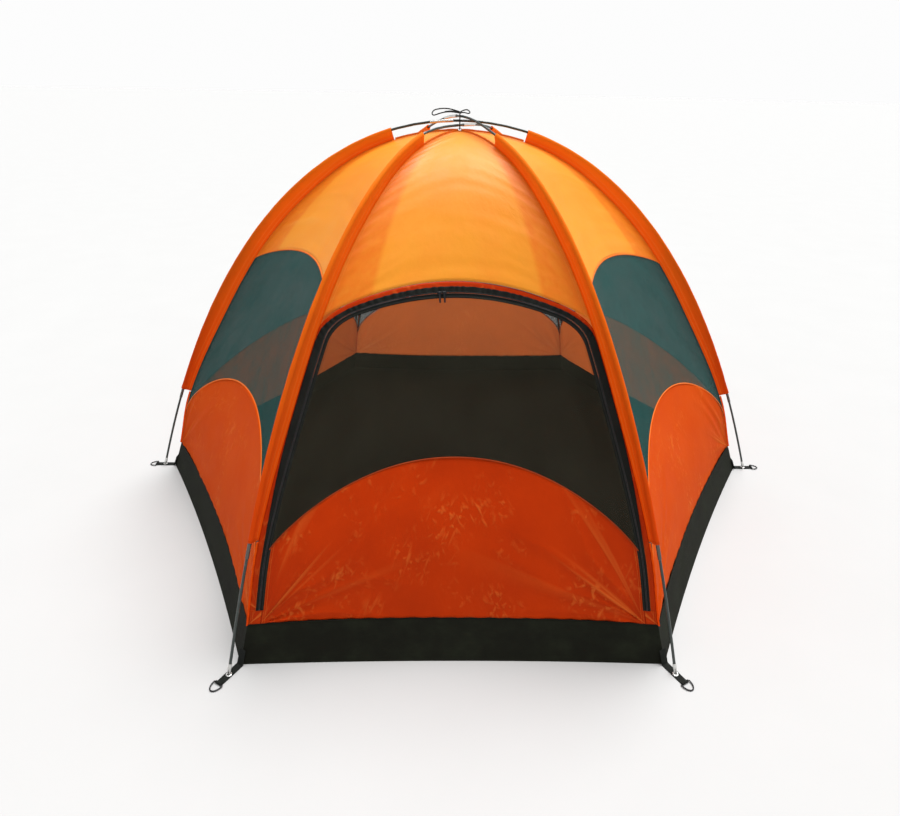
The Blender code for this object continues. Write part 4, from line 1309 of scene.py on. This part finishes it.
def tie_curve(name, route, cyclic):
    """Smooth round cord along a route."""
    curve = bpy.data.curves.new(name, "CURVE")
    curve.dimensions = "3D"
    curve.bevel_depth = TIE_R
    curve.bevel_resolution = 4
    curve.use_fill_caps = True
    spline = curve.splines.new("NURBS")
    spline.points.add(len(route) - 1)
    for point, place in zip(spline.points, route):
        point.co = (*place, 1.0)
    spline.use_cyclic_u = cyclic
    spline.use_endpoint_u = True
    spline.order_u = 3
    spline.resolution_u = 5
    return curve


def make_tie():
    """Cord wrapped around the crossing and tied on top in a bow."""
    middle = (KNOT_HEIGHT + WRAP_LOW) / 2
    half = (KNOT_HEIGHT - WRAP_LOW) / 2
    wrap = []
    for angle in turns(40):
        y = math.copysign(abs(math.cos(angle)) ** 0.6, math.cos(angle)) * WRAP_HALF
        z = math.copysign(abs(math.sin(angle)) ** 0.6, math.sin(angle)) * half
        wrap.append((0.0, y, middle + z))
    knot = [(math.sin(a) * 0.0034, math.cos(2 * a) * 0.0028 - 0.001,
             KNOT_HEIGHT + 0.0022 * math.cos(a + 0.6)) for a in turns(12)]
    for name, route, cyclic in (("wrap", wrap, True), ("big_bow", bow_loop(*BIG_BOW), False),
                                ("knot", knot, True), ("small_bow", bow_loop(*SMALL_BOW), False),
                                ("tail", TAIL_ROUTE, False)):
        curve = tie_curve("tie_" + name, route, cyclic)
        nodes = ["crown_tie"] if name == "wrap" else ()
        piece = link_piece("tie_" + name, curve, CORD, "tent", nodes)
        if not cyclic:
            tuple(route[0])
            line_length([Vector(point) for point in route])


def finish_cad_nodes():
    """Better materials on the CAD nodes whose shape is right."""
    finishes = (("pole_rod_", ROD), ("crown_ferrule_", STEEL), ("stake_ring_", BLACK_METAL),
                ("zip_slider_", BLACK_METAL), ("slider_pull_", BLACK_METAL), ("corner_strap_", WEBBING),
                ("apex_tape", PIPE))
    for name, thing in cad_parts.items():
        for start, finish in finishes:
            if name.startswith(start):
                for slot in thing.material_slots:
                    slot.material = finish


# Studio

def make_camera():
    """Camera a little above the crown, looking down at the door."""
    yaw, pitch, roll = (math.radians(a) for a in CAMERA_TURNS)
    forward = Vector((math.sin(yaw) * math.cos(pitch), math.cos(yaw) * math.cos(pitch), -math.sin(pitch)))
    right = Vector((math.cos(yaw), -math.sin(yaw), 0.0))
    up = right.cross(forward)
    across = math.cos(roll) * right + math.sin(roll) * up
    above = -math.sin(roll) * right + math.cos(roll) * up
    data = bpy.data.cameras.new("camera")
    data.lens = LENS
    data.sensor_width = SENSOR
    data.shift_x, data.shift_y = CAMERA_SHIFT
    camera = add_object("camera", data)
    turn = Matrix((across, above, -forward)).transposed().to_4x4()
    camera.matrix_world = Matrix.Translation(CAMERA_PLACE) @ turn
    bpy.context.scene.camera = camera


def make_sun():
    """Soft lamp that shines evenly from above."""
    data = bpy.data.lights.new("sun_above", "SUN")
    data.angle = math.radians(SUN_SPREAD)
    data.energy = SUN_POWER
    lamp = add_object("sun_above", data)
    lamp.rotation_euler = Vector(SUN_TOWARDS).to_track_quat("Z", "Y").to_euler()


def make_studio():
    """Pale floor, a pale surround and one broad soft lamp above."""
    data = bpy.data.meshes.new("studio_floor")
    bm = bmesh.new()
    bmesh.ops.create_circle(bm, cap_ends=True, segments=96, radius=STUDIO_RADIUS)
    bm.to_mesh(data)
    bm.free()
    floor = add_object("studio_floor", data)
    floor.location.z = -STUDIO_DROP
    data.materials.append(floor_finish())
    world = bpy.data.worlds.new("studio")
    bpy.context.scene.world = world
    world.use_nodes = True
    background = world.node_tree.nodes["Background"]
    background.inputs["Color"].default_value = (1.0, 1.0, 1.0, 1.0)
    place = node(world.node_tree, "TexCoord").outputs["Generated"]
    height = node(world.node_tree, "SeparateXYZ", {0: place}).outputs[2]
    glow = ramp(world.node_tree, height, 0.15, 0.55, 0.98, 0.55)
    world.node_tree.links.new(glow, background.inputs["Strength"])
    make_sun()
    bpy.context.scene.view_settings.view_transform = "Standard"


make_camera()
make_studio()
make_sleeves()
make_walls()
make_piping()
make_corner_seams()
make_tub()
make_door()
make_legs()
make_eyelets()
make_tie()
finish_cad_nodes()
